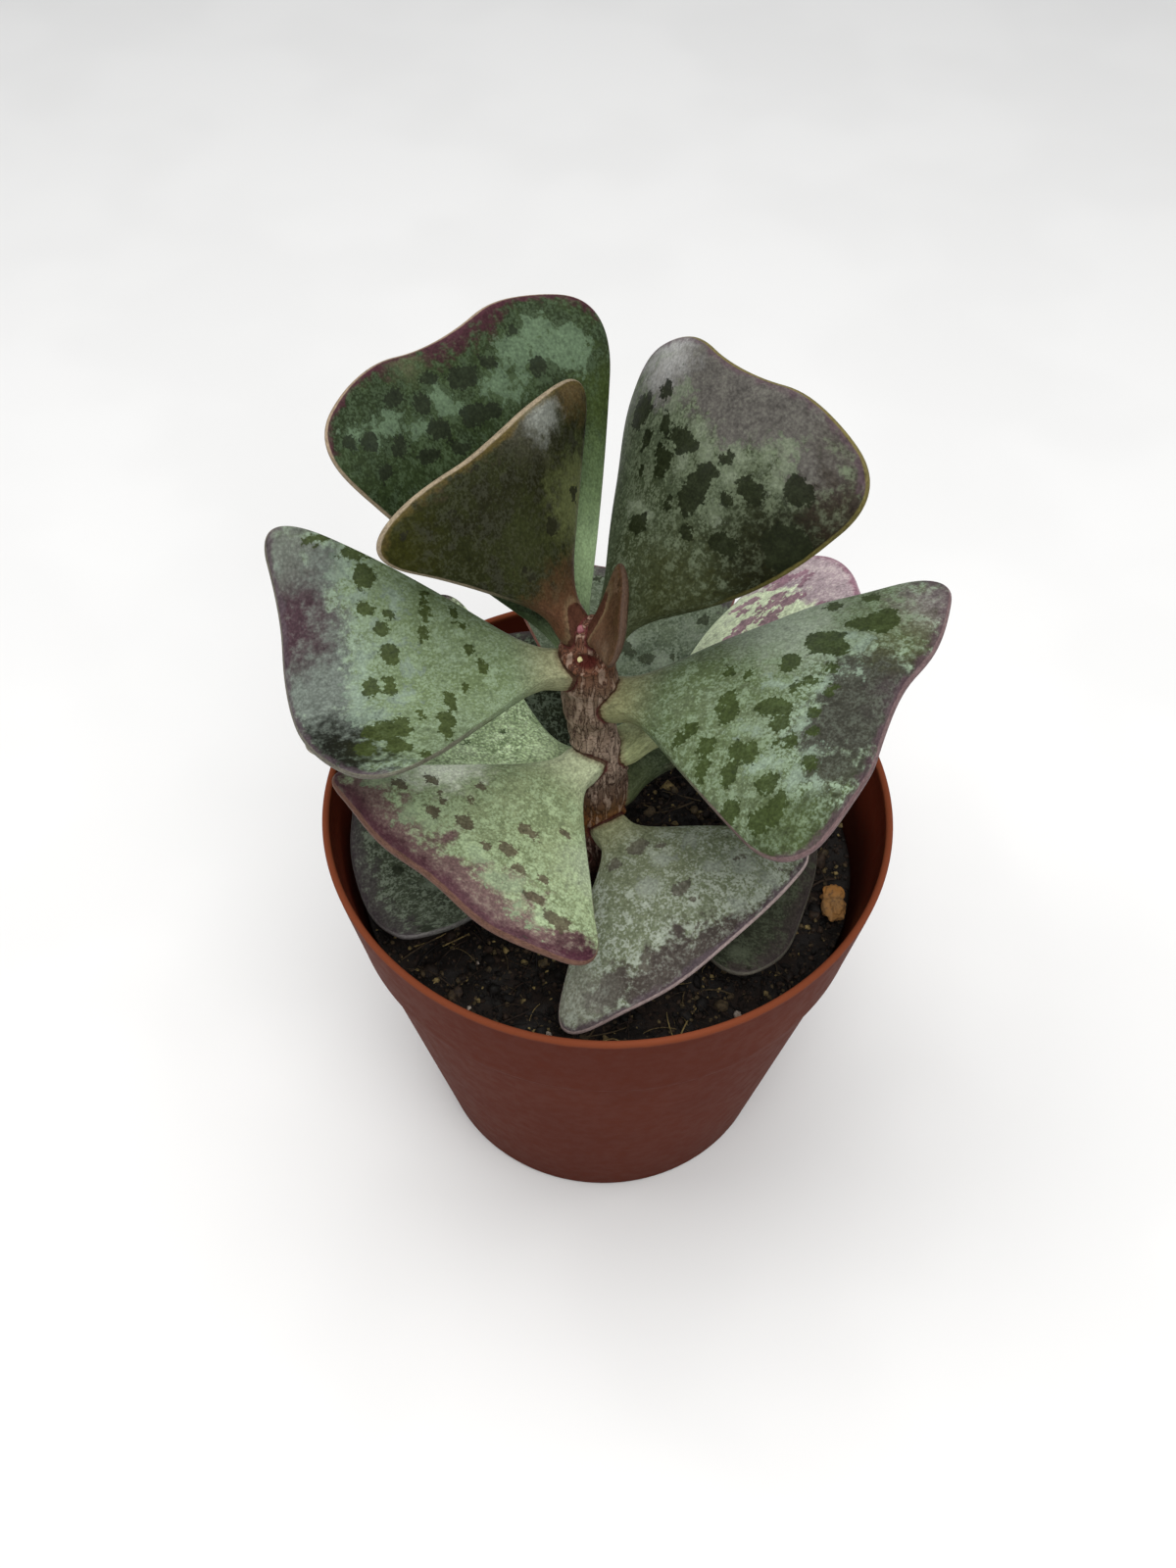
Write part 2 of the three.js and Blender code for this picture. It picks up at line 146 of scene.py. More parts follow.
# Each leaf: where it leaves the stem, how it lies, and its fan's outline. The corners lie at
# (u, w), u along the midrib and w to the side, and far is [left, middle, right] past the length.
LEAVES = [
    dict(name="leaf_right", z=76.5, az=-18, rise=22, roll=8, bend=-3, sweep=-10,
         length=37.5, left=(35.5, 23.5), right=(31.5, 21.5), far=(1, -1, 0.5),
         bulge=(0.5, 1), corner=(9, 8), cup=-0.1, stalk=2.4, thick=3.4),
    dict(name="leaf_left", z=81.2, az=192, rise=17, roll=-7, bend=-17, sweep=7,
         length=34.5, left=(28.5, 20), right=(33.5, 19.5), far=(0, 0.5, -1.5),
         bulge=(0, 1), corner=(7, 8), cup=0.5, stalk=2.1, thick=3.4),
    dict(name="leaf_back_left", z=78.4, az=119, rise=48, roll=6, bend=-4, sweep=14,
         length=41.5, left=(37.5, 23.5), right=(37, 21), far=(2, 0, 2),
         bulge=(0.5, 0), corner=(9, 8), cup=0.2, stalk=1.6, thick=3.2),
    dict(name="leaf_back_right", z=82.5, az=41, rise=48, roll=-7, bend=6, sweep=7,
         length=36.5, left=(30, 20), right=(32, 18.5), far=(1, -0.5, 1.5),
         bulge=(0, 3.5), corner=(7, 6), cup=-0.4, stalk=1.9, thick=3.2),
    dict(name="leaf_upper_left", z=85, az=152, rise=54, roll=1, bend=15, sweep=-12,
         length=28.5, left=(24, 19), right=(24.5, 19), far=(-1.5, -2.5, -1),
         bulge=(-1, 1), corner=(6, 6), cup=-0.1, stalk=1.8, thick=2.8),
    dict(name="leaf_young", z=86, az=-43, rise=57, roll=42, bend=0, sweep=0,
         length=10.5, left=(9, 6.4), right=(9, 6.4), far=(0, 0, 0),
         bulge=(0.3, 0.3), corner=(1.2, 1.2), cup=0.4, stalk=1.4, thick=1.7, stalk_length=3,
         margin=0.3),
    dict(name="leaf_front_left", z=67.5, az=231, rise=8, roll=-10, bend=10, sweep=5,
         length=31, left=(26.5, 21), right=(28, 19.5), far=(0, 0, -0.5),
         bulge=(0, 0), corner=(7, 7), cup=0, stalk=2.2, thick=3.4),
    dict(name="leaf_front_right", z=55, az=-62, rise=24, roll=12, bend=-30, sweep=5,
         length=27, left=(21, 19), right=(23, 21.5), far=(-2, 0, 0),
         bulge=(1.5, 0.5), corner=(7, 7), cup=-0.2, stalk=2.2, thick=3.2),
    dict(name="leaf_low_left", z=50.5, az=195, rise=5, roll=5, bend=-8, sweep=2,
         length=30, left=(26, 15.5), right=(25.5, 16.5), far=(-1, 0.5, 0),
         bulge=(0.5, 0), corner=(7, 7), cup=0.6, stalk=2, thick=2.8),
    dict(name="leaf_low_right", z=49.5, az=-23, rise=7, roll=0, bend=-8, sweep=2,
         length=27.5, left=(23.5, 15.5), right=(23.5, 15.5), far=(-0.5, 0, 0),
         bulge=(0, 0), corner=(7, 7), cup=0.3, stalk=2, thick=2.8),
    dict(name="leaf_far_right", z=66.5, az=24, rise=18, roll=-12, bend=8, sweep=-4,
         length=36.5, left=(31, 20.5), right=(31, 18), far=(1, -0.5, 0),
         bulge=(1.5, 0), corner=(7, 7), cup=-0.2, stalk=2.2, thick=3, stalk_length=9),
    dict(name="leaf_far_left", z=63.5, az=166, rise=6, roll=12, bend=-4, sweep=-6,
         length=34, left=(29, 19), right=(28, 20), far=(0, 0, 0),
         bulge=(0, 1), corner=(7, 7), cup=0.4, stalk=2.2, thick=3),
    dict(name="leaf_back", z=62, az=86, rise=6, roll=0, bend=-3, sweep=0,
         length=34.5, left=(29, 15), right=(29, 17), far=(0.5, 0, 0.5),
         bulge=(0, 0), corner=(7, 7), cup=0.3, stalk=2.1, thick=3),
    dict(name="leaf_low_back_left", z=54, az=104, rise=5, roll=0, bend=-2, sweep=-4,
         length=32, left=(28, 15), right=(27, 13), far=(0, 0, 0),
         bulge=(0, 0), corner=(7, 7), cup=0.4, stalk=2, thick=2.8),
    dict(name="leaf_low_back_right", z=58, az=50, rise=5, roll=0, bend=-4, sweep=-2,
         length=26, left=(22, 9), right=(22, 11), far=(0, 0, 0),
         bulge=(0, 0), corner=(6, 6), cup=0, stalk=2, thick=2.6, stalk_length=9),
]

STALK_LENGTH = 6.0
STALK_START = 1.2
MARGIN = 0.5
EDGE_WAVE = 0.35
MIDRIB_STEP = 0.25
# The outline is cut back this far where the stalk widens, and each corner has so many points
STALK_CUT = 5
CORNER_STEPS = 25
# A blade rises off its midrib by its cup times the distance squared, over this
CUP_AT = 20
# How full a blade's section stays across it and to its far end: the higher, the fuller
ACROSS_POWER, ONWARD_POWER = 2.6, 8
# A stalk is this many of its half widths thick, and swells into the blade over this many of its
# lengths. Its foot flares by this share, this far along it and over this length.
STALK_ROUND, STALK_FADE = 1.7, 2.2
FLARE, FLARE_AT, FLARE_LENGTH = 0.13, 3.4, 1.5
# The fine outline is this share of the solid's, so that it stays inside its chords, and it is
# drawn in further by such steps where it still stands out of the whole model's box
LEAF_FIT = 0.996
LEAF_FIT_STEP = 0.002

# Dark spots on a leaf's upper face: place along and across the blade, half length, half width
SPOTS = {
    "leaf_right": [
        (26.6, 8.2, 2.3, 1.8), (28.6, 7.4, 1.4, 1.1), (29.6, 11.5, 2, 1.1), (28.6, 16.2, 1, 1),
        (23.8, 4.7, 1.2, 1.4), (24.3, -1.7, 2.1, 1.4), (25.7, -3.7, 1.3, 1.1),
        (25.7, 0.9, 0.6, 0.7), (27.7, -5.8, 0.9, 1), (25.9, -6.3, 0.4, 0.5),
        (23.3, -7.7, 1.1, 1.4), (21.8, -7.8, 1.3, 1.1), (21.5, -10.5, 0.9, 1.5),
        (26.6, -11.1, 1.3, 1.4), (28.8, -13.8, 1, 2.2), (27.1, -15.5, 1.5, 1.5),
        (22.9, -15, 1.2, 2.1), (19.7, 2.6, 0.6, 1), (17.3, 3, 0.6, 0.8), (18.6, -1, 1.1, 1.1),
        (19.1, -2.8, 1, 1.7), (17.7, -2.1, 0.6, 1.2), (17.7, -7.1, 1, 1.2), (18.1, -9.8, 0.7, 1.8),
        (15.1, -5.2, 0.8, 1.1), (13.9, -6.5, 0.6, 1), (27.2, 2.3, 1.1, 0.6), (30.8, -8.2, 0.9, 1),
        (31.5, 12.5, 1.8, 2.2), (25.2, 14.4, 0.8, 0.9), (29, -1.8, 0.8, 0.9),
        (29.9, 1.4, 0.7, 0.8), (28.8, 4.4, 0.8, 0.8), (29.7, -4.6, 0.8, 0.7),
    ],
    "leaf_left": [
        (12.9, 0.8, 0.7, 1.1), (14.2, -1.6, 0.4, 0.7), (17.8, 5.6, 0.7, 1.7),
        (18.8, 8.7, 1.1, 1.4), (19.5, 10.7, 0.7, 1.4), (15.6, 3.9, 0.4, 0.6), (26.4, 9.4, 2, 1.8),
        (25.2, 12.6, 1.6, 1.2), (28.6, 12.2, 1.1, 1.5), (24, 9.2, 0.9, 1.8), (22.7, 14.8, 0.6, 1),
        (23.8, 2.4, 0.8, 1.4), (25.9, 2.2, 0.9, 1.4), (22.9, -1.9, 1, 1.7), (23, -5.1, 0.9, 1),
        (22.2, -6.9, 0.5, 0.5), (24.4, -7.6, 1.1, 0.9), (24, -11.2, 1.1, 1.4),
        (24.3, -13.8, 1.7, 0.7), (27.8, -15.6, 1.5, 0.6), (18, -6.4, 0.6, 1.2),
        (18, -8.4, 0.4, 0.6), (18.8, -4.1, 0.5, 1), (15.1, -6.6, 0.4, 1.2), (14.1, -4.5, 0.4, 0.6),
        (21.4, 7.4, 0.6, 1),
    ],
    "leaf_back_left": [
        (37.2, 0.3, 1.3, 2), (36.8, 6.6, 1.3, 1.2), (33.4, 6.2, 1.2, 1.6), (33.2, 1.4, 1.3, 1.5),
        (35.6, 15.6, 1.1, 1.2), (33.6, 12, 1, 1.4), (32.6, -1.2, 0.9, 1.2), (37.6, -3.8, 0.9, 0.9),
        (34.4, -9, 1, 1.2), (38.6, 9.8, 1, 1.6), (38.8, 4.2, 0.8, 1.2), (31.4, 9, 1, 1.6),
        (32, 15.5, 0.9, 1.1), (36.6, 18.2, 0.8, 1), (30.6, 4.6, 0.8, 1.3), (39.2, -8.4, 0.7, 0.9),
    ],
    "leaf_back_right": [
        (23.3, -2.1, 3, 1.7), (25.6, -2.6, 1, 1.2), (23.5, 3.6, 1.6, 1.2), (24.3, 4.6, 0.9, 0.9),
        (26.9, 2.5, 1.2, 2.3), (24.5, 8, 1.1, 0.7), (26.5, 11.5, 2.3, 1.9), (16.5, 2.7, 1.1, 1.4),
        (20, -8, 1.1, 1.8), (26.2, -7.5, 1.2, 1.8), (22.8, -13.3, 2.5, 2.3), (27.3, 6.1, 0.9, 0.8),
        (27.8, -3.6, 0.8, 0.9), (20.2, 0.2, 0.7, 0.7), (24.4, -6, 0.9, 0.9),
        (18.8, -3.6, 0.7, 0.8), (30.2, 8.6, 1, 1.2), (21.2, 6.4, 0.7, 0.6),
        (28.4, -11.8, 1.4, 1.6),
    ],
    "leaf_front_left": [
        (21.4, 3.1, 0.8, 1.2), (22.2, -2.7, 0.9, 1.3), (21.7, 8.3, 0.5, 1), (17.6, 3, 0.7, 1.4),
        (14.1, 6, 0.4, 0.8), (20.1, -9.2, 0.7, 0.9), (19.2, -4.3, 0.4, 0.6), (16.7, -5, 0.4, 1),
        (24, -6, 0.9, 1), (22.7, 5.5, 0.7, 1), (25, 13, 1, 1.5), (21, -7.4, 0.4, 0.4),
        (22, -6, 0.4, 0.4), (23.2, 1.2, 0.5, 0.8), (24.6, 9.4, 0.6, 1.1), (23.6, -11, 0.6, 0.9),
    ],
}

# Pale bloom patches, in the same order
PATCHES = {
    "leaf_right": [
        (30.6, 8.4, 0.5, 1.5), (29.2, 9.4, 1.2, 0.5), (28.6, 2, 0.6, 0.8), (30.9, 4.2, 1, 0.3),
        (28.2, -3.2, 0.5, 1.4), (30.8, -6.9, 0.8, 0.4), (32.4, -10.6, 0.6, 0.5),
        (24.8, -9.6, 1, 0.4), (29.6, -10.4, 0.4, 1.2), (26.6, -8.6, 1.2, 0.4),
        (23.6, 1.6, 1.2, 0.4), (22, -4.8, 1.4, 0.4),
    ],
    "leaf_left": [
        (27.6, 3.2, 0.6, 2.4), (26.2, 6.6, 1.4, 0.5), (22.6, 4.6, 1.2, 0.8),
        (23.2, -3.4, 1.6, 0.4), (24.8, -6.2, 1.2, 0.4), (21.2, -8.4, 0.6, 1.4),
        (25.4, -9.4, 1.2, 0.4), (26.9, -11.6, 0.7, 0.4), (25.6, -12.5, 0.4, 1),
        (28.4, 6, 0.5, 1.4), (21, 0, 0.6, 1.4), (26, -1, 0.4, 1.8),
    ],
    "leaf_back_left": [
        (36.5, 12.5, 0.9, 2.2), (34.5, 8.4, 0.9, 1.4), (36.2, 4, 1.8, 1.1), (34.4, 3, 0.6, 1.3),
        (35, -3.2, 1.3, 1.7), (34.2, -6.2, 0.6, 1.2), (37.2, -7.6, 1.7, 2.1),
        (38.2, -10.7, 1.4, 1.6), (35.2, -12.9, 2.2, 2.4), (33.4, -14, 1.2, 1.2),
        (36.6, -10, 1.6, 1), (37, 17, 0.7, 1.2), (35.4, 14.8, 0.6, 1), (33.2, -4.4, 0.6, 1.4),
    ],
    "leaf_back_right": [
        (31.8, 5.2, 0.7, 0.5), (30, 6.5, 1.8, 0.6), (28.8, 1.2, 0.8, 0.7), (31.9, -8.8, 0.5, 1.2),
        (30.6, -7.3, 1.1, 0.4), (30.2, -9.4, 0.9, 0.5), (28.6, -4.6, 0.6, 1.4),
        (27.2, -1.2, 1.1, 0.7), (26.4, -5, 0.7, 1), (25.2, 1.2, 1.2, 0.5), (17.8, 3.4, 0.7, 1.8),
        (28, -9.8, 0.6, 0.9), (22.2, -5.2, 0.8, 0.5),
    ],
    "leaf_upper_left": [
        # This pale patch is part of the painted highlight near the tip.
        (24.8, -8.4, 1, 0.8),
    ],
    "leaf_front_left": [
        (27.4, 9, 0.9, 0.5), (26.6, 11.4, 1.2, 0.5), (26.4, 4.6, 0.8, 0.9), (25.4, 6.6, 1.2, 0.6),
        (26.2, -7.4, 1.6, 0.6), (25.2, -5.2, 0.9, 0.6), (24.6, -13.2, 1.4, 1),
        (24.8, 0.8, 0.8, 1.4),
    ],
}

# Where the purple-grey wash reaches in from the far edge, in the same order
WASHES = {
    "leaf_right": [
        (34, 1, 6.2, 7.5), (30.5, -4.5, 3.6, 3.4), (30.5, 3.5, 2.2, 2), (33, -9, 3.5, 3),
    ],
    "leaf_left": [
        (32, -5, 5.4, 12), (30, 1.5, 3, 4), (28.5, -6.5, 2.2, 3), (28.4, -13, 2.4, 3),
        (31.5, 8, 3.4, 5),
    ],
    "leaf_back_left": [
        (43, -3, 3, 8), (43, 8, 2, 5),
    ],
    "leaf_back_right": [
        (36, 0, 6.6, 13.5), (31.5, -12, 3.6, 4), (31.5, 10, 3, 4), (30.5, -2.5, 2.6, 3),
    ],
    "leaf_front_left": [
        (31, 2, 4, 9), (29.5, 11, 3.2, 4.6), (28, 15.5, 3.6, 3.2), (29.5, -8, 3.8, 5),
        (28, -12.5, 3.6, 3.4), (26.4, 3, 1.4, 0.8), (25.4, -2.6, 1.4, 0.9), (24.7, 6.2, 1.3, 0.6),
        (25.5, 9.7, 1.6, 0.6), (25.4, -5.8, 1.4, 0.6), (24.9, -9.4, 1.2, 1.2),
    ],
    "leaf_front_right": [
        (25.5, -6, 3.4, 6), (26, 2, 2.6, 6), (23, -12, 2.4, 3.4), (22, -2, 1, 1.4),
    ],
}


# Settings that a user would change


def linear(code):
    """An sRGB hex colour as linear red, green and blue."""
    values = [int(code[k:k + 2], 16) / 255 for k in (1, 3, 5)]
    return tuple(v / 12.92 if v <= 0.04045 else ((v + 0.055) / 1.055) ** 2.4 for v in values)


def colour_of(code, name, description):
    return bpy.props.FloatVectorProperty(
        name=name, description=description, subtype="COLOR", size=3, min=0, max=1,
        default=linear(code))


def length_of(millimetres, name, description, low=0.0, high=10.0):
    return bpy.props.FloatProperty(
        name=name, description=description, default=millimetres * MM, min=low * MM,
        max=high * MM, unit="LENGTH", precision=5)


class StageSettings(bpy.types.PropertyGroup):
    backdrop: colour_of("#ebebeb", "Floor", "Colour of the pale floor")
    key_power: bpy.props.FloatProperty(
        name="Softbox", description="Power of the softbox overhead", default=1.28, min=0,
        unit="POWER")
    fill: bpy.props.FloatProperty(
        name="Fill", description="Strength of the even light from all round", default=0.42, min=0)
    lens: length_of(41.5125, "Lens", "Focal length of the camera", 10, 200)


class PotSettings(bpy.types.PropertyGroup):
    wall: colour_of("#532112", "Wall", "Colour of the moulded wall")
    # The rim colour is a painted highlight along the top of the rim.
    rim: colour_of("#7a4029", "Rim", "Lighter colour of the scuffed rim")
    inside: colour_of("#62291b", "Inside", "Colour of the wall's inner face")
    drain_radius: length_of(2.6, "Drain hole", "Radius of each drain hole", 1, 4)
    sides: bpy.props.IntProperty(
        name="Sides", description="Facets round the wall", default=224, min=56, max=360)


class SoilSettings(bpy.types.PropertyGroup):
    dark: colour_of("#15100d", "Peat", "Colour of the moist peat")
    brown: colour_of("#403226", "Fibre", "Colour of its fibres and bark bits")
    golden: colour_of("#a08b5a", "Bright bits", "Colour of the few bright crumbs")
    crumbs: bpy.props.FloatProperty(
        name="Crumbs", description="Fine peat crumbs per square millimetre", default=2.2, min=0)
    crumb_size: length_of(1.1, "Crumb size", "Radius of the largest crumb", 0.2, 3)
    fibres: bpy.props.FloatProperty(
        name="Fibres", description="Fibres per square millimetre", default=0.36, min=0)
    fibre_length: length_of(6.5, "Fibre length", "Length of the longest fibre", 1, 20)


class StemSettings(bpy.types.PropertyGroup):
    bark: colour_of("#7e6b5c", "Bark", "Colour of the young bark")
    corky: colour_of("#76491f", "Cork", "Colour of the rusty corky ring")
    # The bark colour low on the stem is darker partly with age and partly as painted shade.
    old_bark_and_painted_shade: colour_of("#432a20", "Old bark", "Colour of the bark near the soil")
    # The seam colour is painted shade, in the crease where a stalk meets the bark.
    seam: colour_of("#4c1f1d", "Seam", "Dark line where a leaf stalk meets the bark")
    tip: colour_of("#6a4431", "Tip", "Colour of the growing tip")
    crack_depth: length_of(0.18, "Cracks", "Depth of the fine cracks along the bark", 0, 0.3)
    sides: bpy.props.IntProperty(
        name="Sides", description="Facets round the stem", default=104, min=24, max=160)


class LeafSettings(bpy.types.PropertyGroup):
    margin: length_of(0.16, "Margin", "Width of the pale horny margin", 0, 1.5)
    relief: length_of(0.12, "Relief", "Height of the blade's soft dents", 0, 0.4)
    columns: bpy.props.IntProperty(
        name="Columns", description="Facets across a blade", default=76, min=20, max=120)
    rows: bpy.props.IntProperty(
        name="Rows", description="Facets along a blade", default=76, min=20, max=120)


# Small helpers for meshes and materials


def rgba(colour):
    """A colour for a socket, from a hex code, a setting or another node's output."""
    if isinstance(colour, bpy.types.NodeSocket):
        return colour
    return (*(linear(colour) if isinstance(colour, str) else colour), 1)


def add(tree, kind, inputs=None, stops=None, **settings):
    """Adds a node, with its settings, its inputs' values or links, and a ramp's stops."""
    made = tree.nodes.new(kind)
    for key, value in settings.items():
        setattr(made, key, value)
    for key, value in (inputs or {}).items():
        if isinstance(value, bpy.types.NodeSocket):
            tree.links.new(value, made.inputs[key])
        else:
            made.inputs[key].default_value = value
    if stops:
        ramp = made.color_ramp
        while len(ramp.elements) < len(stops):
            ramp.elements.new(1)
        for element, (place, colour) in zip(ramp.elements, stops):
            element.position = place
            element.color = rgba(colour)
    return made


def weighted(tree, start, terms):
    """start plus each noise, less its middle and times its weight."""
    total = start
    for value, weight in terms:
        total = add(tree, "ShaderNodeMath", {
            0: add(tree, "ShaderNodeMath", {0: value, 1: 0.5}, operation="SUBTRACT").outputs[0],
            1: weight, 2: total}, operation="MULTIPLY_ADD").outputs[0]
    return total


def between(tree, value, empty, full, share=1.0, start=0.0):
    """A mask that runs smoothly from start, where value is empty, up by share to where it is
    full."""
    ends = (start, start + share) if empty < full else (start + share, start)
    return add(tree, "ShaderNodeMapRange", {
        "Value": value, "From Min": min(empty, full), "From Max": max(empty, full),
        "To Min": ends[0], "To Max": ends[1]}, interpolation_type="SMOOTHSTEP").outputs[0]


def layered(tree, base, layers):
    """The base colour under each masked layer in turn."""
    colour = rgba(base)
    for mask, over in layers:
        colour = add(tree, "ShaderNodeMix", {0: mask, 6: colour, 7: rgba(over)},
                     data_type="RGBA").outputs[2]
    return colour


def noises(tree, where, table):
    """Noise of each name, by features per millimetre and detail."""
    return {key: add(tree, "ShaderNodeTexNoise", {
        "Vector": where, "Scale": scale, "Detail": detail, "Roughness": 0.6,
    }).outputs["Fac"] for key, scale, detail in table}


def new_material(name):
    """An empty material and its tree."""
    material = bpy.data.materials.new(name)
    material.use_nodes = True
    material.node_tree.nodes.clear()
    return material, material.node_tree


def finished(material, sockets, bump=None):
    """The material with its shader, whose sockets are set or linked, and with its bumps: their
    strength, depth in millimetres and height."""
    tree = material.node_tree
    if bump:
        strength, depth, height = bump
        sockets["Normal"] = add(tree, "ShaderNodeBump", {
            "Strength": strength, "Distance": depth * MM, "Height": height}).outputs[0]
    shader = add(tree, "ShaderNodeBsdfPrincipled", sockets)
    add(tree, "ShaderNodeOutputMaterial", {"Surface": shader.outputs[0]})
    return material


def in_millimetres(tree, stretch=(1.0, 1.0, 1.0)):
    """Object coordinates in millimetres, stretched along an axis where that is asked."""
    place = add(tree, "ShaderNodeTexCoord").outputs["Object"]
    return add(tree, "ShaderNodeVectorMath", {
        0: place, 1: [s / MM for s in stretch]}, operation="MULTIPLY").outputs[0]


def build(name, points, faces, material, attributes=None):
    """A smooth closed piece from points in millimetres, turned outward."""
    mesh = bpy.data.meshes.new(name)
    mesh.from_pydata((np.asarray(points) * MM).tolist(), [], faces)
    mesh.validate()
    volume = 0.0
    for face in mesh.polygons:
        volume += face.center.dot(face.normal) * face.area
    if volume < 0:
        mesh.flip_normals()
    mesh.polygons.foreach_set("use_smooth", [True] * len(mesh.polygons))
    for key, values in (attributes or {}).items():
        values = np.asarray(values, np.float32)
        kind, field = ("FLOAT", "value") if values.ndim == 1 else ("FLOAT_VECTOR", "vector")
        mesh.attributes.new(key, kind, "POINT").data.foreach_set(field, values.ravel())
    mesh.materials.append(material)
    mesh.update()
    piece = bpy.data.objects.new(name, mesh)
    bpy.context.scene.collection.objects.link(piece)
    return piece


def settle(piece, slot, node=None):
    """The piece rides on the one body and stands for its node; slot is not used."""
    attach(piece, "root")
    if node:
        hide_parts(node)


def circle(sides):
    """Even directions round a circle, as their cosines and sines."""
    turns = [2 * math.pi * i / sides for i in range(sides)]
    return [(math.cos(a), math.sin(a)) for a in turns]


def rings_to_faces(rings, sides, first=0):
    """Quads between rings of points that follow each other."""
    faces = []
    for k in range(rings - 1):
        for i in range(sides):
            a, b = first + k * sides + i, first + k * sides + (i + 1) % sides
            faces.append((a, b, b + sides, a + sides))
    return faces


def close_pole(points, faces, first, sides, centre, below):
    """Closes a piece at the ring that starts at a point, by a fan round its centre."""
    middle = len(points)
    points.append(centre)
    for i in range(sides):
        a, b = first + i, first + (i + 1) % sides
        faces.append((middle, b, a) if below else (middle, a, b))


def rough(x, y, z, scale):
    """Soft noise about zero at a place in millimetres."""
    return noise.noise(Vector((x * scale, y * scale, z * scale)))


# The camera, the floor and the light


class CALICO_OT_stage(bpy.types.Operator):
    """Make the camera, the pale floor and the soft studio light"""
    bl_idname = "calico.stage"
    bl_label = "Camera, floor and light"

    def execute(self, context):
        settings = context.scene.calico_stage
        scene = context.scene
        scene.view_settings.view_transform = "Standard"
        tilt, turn = math.radians(CAMERA_DOWN), math.radians(CAMERA_TURN)
        back = Vector((0, -math.cos(tilt), math.sin(tilt)))
        level, rise = Vector((1, 0, 0)), Vector((0, math.sin(tilt), math.cos(tilt)))
        right = level * math.cos(turn) + rise * math.sin(turn)
        upward = rise * math.cos(turn) - level * math.sin(turn)
        data = bpy.data.cameras.new("camera")
        data.lens = settings.lens / MM
        data.sensor_width = 36
        data.clip_start, data.clip_end = 0.01, 20
        camera = bpy.data.objects.new("camera", data)
        camera.matrix_world = Matrix((right, upward, back)).transposed().to_4x4()
        camera.location = (Vector(CAMERA_TARGET) + back * CAMERA_DISTANCE) * MM
        scene.collection.objects.link(camera)
        scene.camera = camera
        # Matt paint on a pale board far wider than the view, a shade darker in soft clouds
        material, tree = new_material("matt_painted_board")
        cloud = add(tree, "ShaderNodeTexNoise", {
            "Vector": in_millimetres(tree), "Scale": 0.02, "Detail": 2.0}).outputs["Fac"]
        paint = layered(tree, settings.backdrop, [
            (between(tree, cloud, 0.4, 0.6), [c * 0.97 for c in settings.backdrop])])
        finished(material, {"Base Color": paint, "Roughness": 0.9, "Specular IOR Level": 0.1})
        corners = [(x * FLOOR_HALF, y * FLOOR_HALF, 0)
                   for x, y in ((-1, -1), (1, -1), (1, 1), (-1, 1))]
        floor = build("floor", corners, [(0, 1, 2, 3)], material)
        world = bpy.data.worlds.new("studio")
        world.use_nodes = True
        ground = world.node_tree.nodes["Background"]
        ground.inputs["Color"].default_value = SKY_TINT
        ground.inputs["Strength"].default_value = settings.fill
        scene.world = world
        for name, (where, size, share) in LAMPS.items():
            lamp = bpy.data.lights.new(name, "AREA")
            lamp.shape = "DISK"
            lamp.size = size * MM
            lamp.energy = settings.key_power * share
            lamp.color = LAMP_TINT
            light = bpy.data.objects.new(name, lamp)
            light.location = Vector(where) * MM
            toward = Vector(LAMP_TARGET) * MM - light.location
            light.rotation_euler = toward.to_track_quat("-Z", "Y").to_euler()
            scene.collection.objects.link(light)
        return {"FINISHED"}


# The pot


def pot_inside(z):
    return MOUTH_RADIUS - (POT_TOP - z) * INNER_TAPER


def moulded_plastic(settings):
    """Polypropylene as injection moulded: matt, a little mottled by flow, with a faint bloom of
    dust, a painted highlight along the top of the rim and an inner wall darker towards the soil."""
    material, tree = new_material("moulded_terracotta_polypropylene")
    where = in_millimetres(tree)
    field = noises(tree, where, (("flow", 0.05, 3.0), ("dust", 0.6, 5.0), ("grain", 5.0, 2.0)))
    height = add(tree, "ShaderNodeSeparateXYZ", {0: where}).outputs["Z"]
    flat = add(tree, "ShaderNodeVectorMath", {0: where, 1: (1, 1, 0)},
               operation="MULTIPLY").outputs[0]
    radius = add(tree, "ShaderNodeVectorMath", {0: flat}, operation="LENGTH").outputs["Value"]
    # The radius less the taper is the same all the way up the inner wall, and more outside it
    wall = add(tree, "ShaderNodeMath", {
        0: height, 1: -INNER_TAPER, 2: radius}, operation="MULTIPLY_ADD").outputs[0]
    inner = pot_inside(0)
    outer_face = add(tree, "ShaderNodeMath", {
        0: between(tree, wall, inner + 0.15, inner + 0.45),
        1: between(tree, height, 1.8, 1.2)}, operation="MAXIMUM").outputs[0]
    inside = add(tree, "ShaderNodeMath", {0: 1.0, 1: outer_face}, operation="SUBTRACT").outputs[0]
    # The inner wall is painted darker down towards the soil.
    darker_towards_soil = add(tree, "ShaderNodeMath", {
        0: inside,
        1: between(tree, weighted(tree, height, [(field["dust"], 5.0)]), 53.5, 46.5, 0.75),
    }, operation="MULTIPLY").outputs[0]
    lip = weighted(tree, height, [(field["dust"], 0.5)])
    colour = layered(tree, settings.wall, [
        (between(tree, field["flow"], 0.4, 0.65, 0.5), "#5a2717"),
        (between(tree, height, 46, 2, 0.35), "#4b1e10"),
        (between(tree, field["dust"], 0.55, 0.75, 0.2), "#602e1f"),
        (inside, settings.inside),
        (darker_towards_soil, "#2a1710"),
        # Painted highlight: the top of the rim is painted lighter.
        (between(tree, lip, POT_TOP - 0.9, POT_TOP - 0.3, 0.85), settings.rim),
    ])
    return finished(material, {
        "Base Color": colour, "Roughness": between(tree, field["dust"], 0.3, 0.8, 0.14, 0.55),
        "IOR": 1.49, "Specular IOR Level": 0.04}, (0.35, 0.03, field["grain"]))


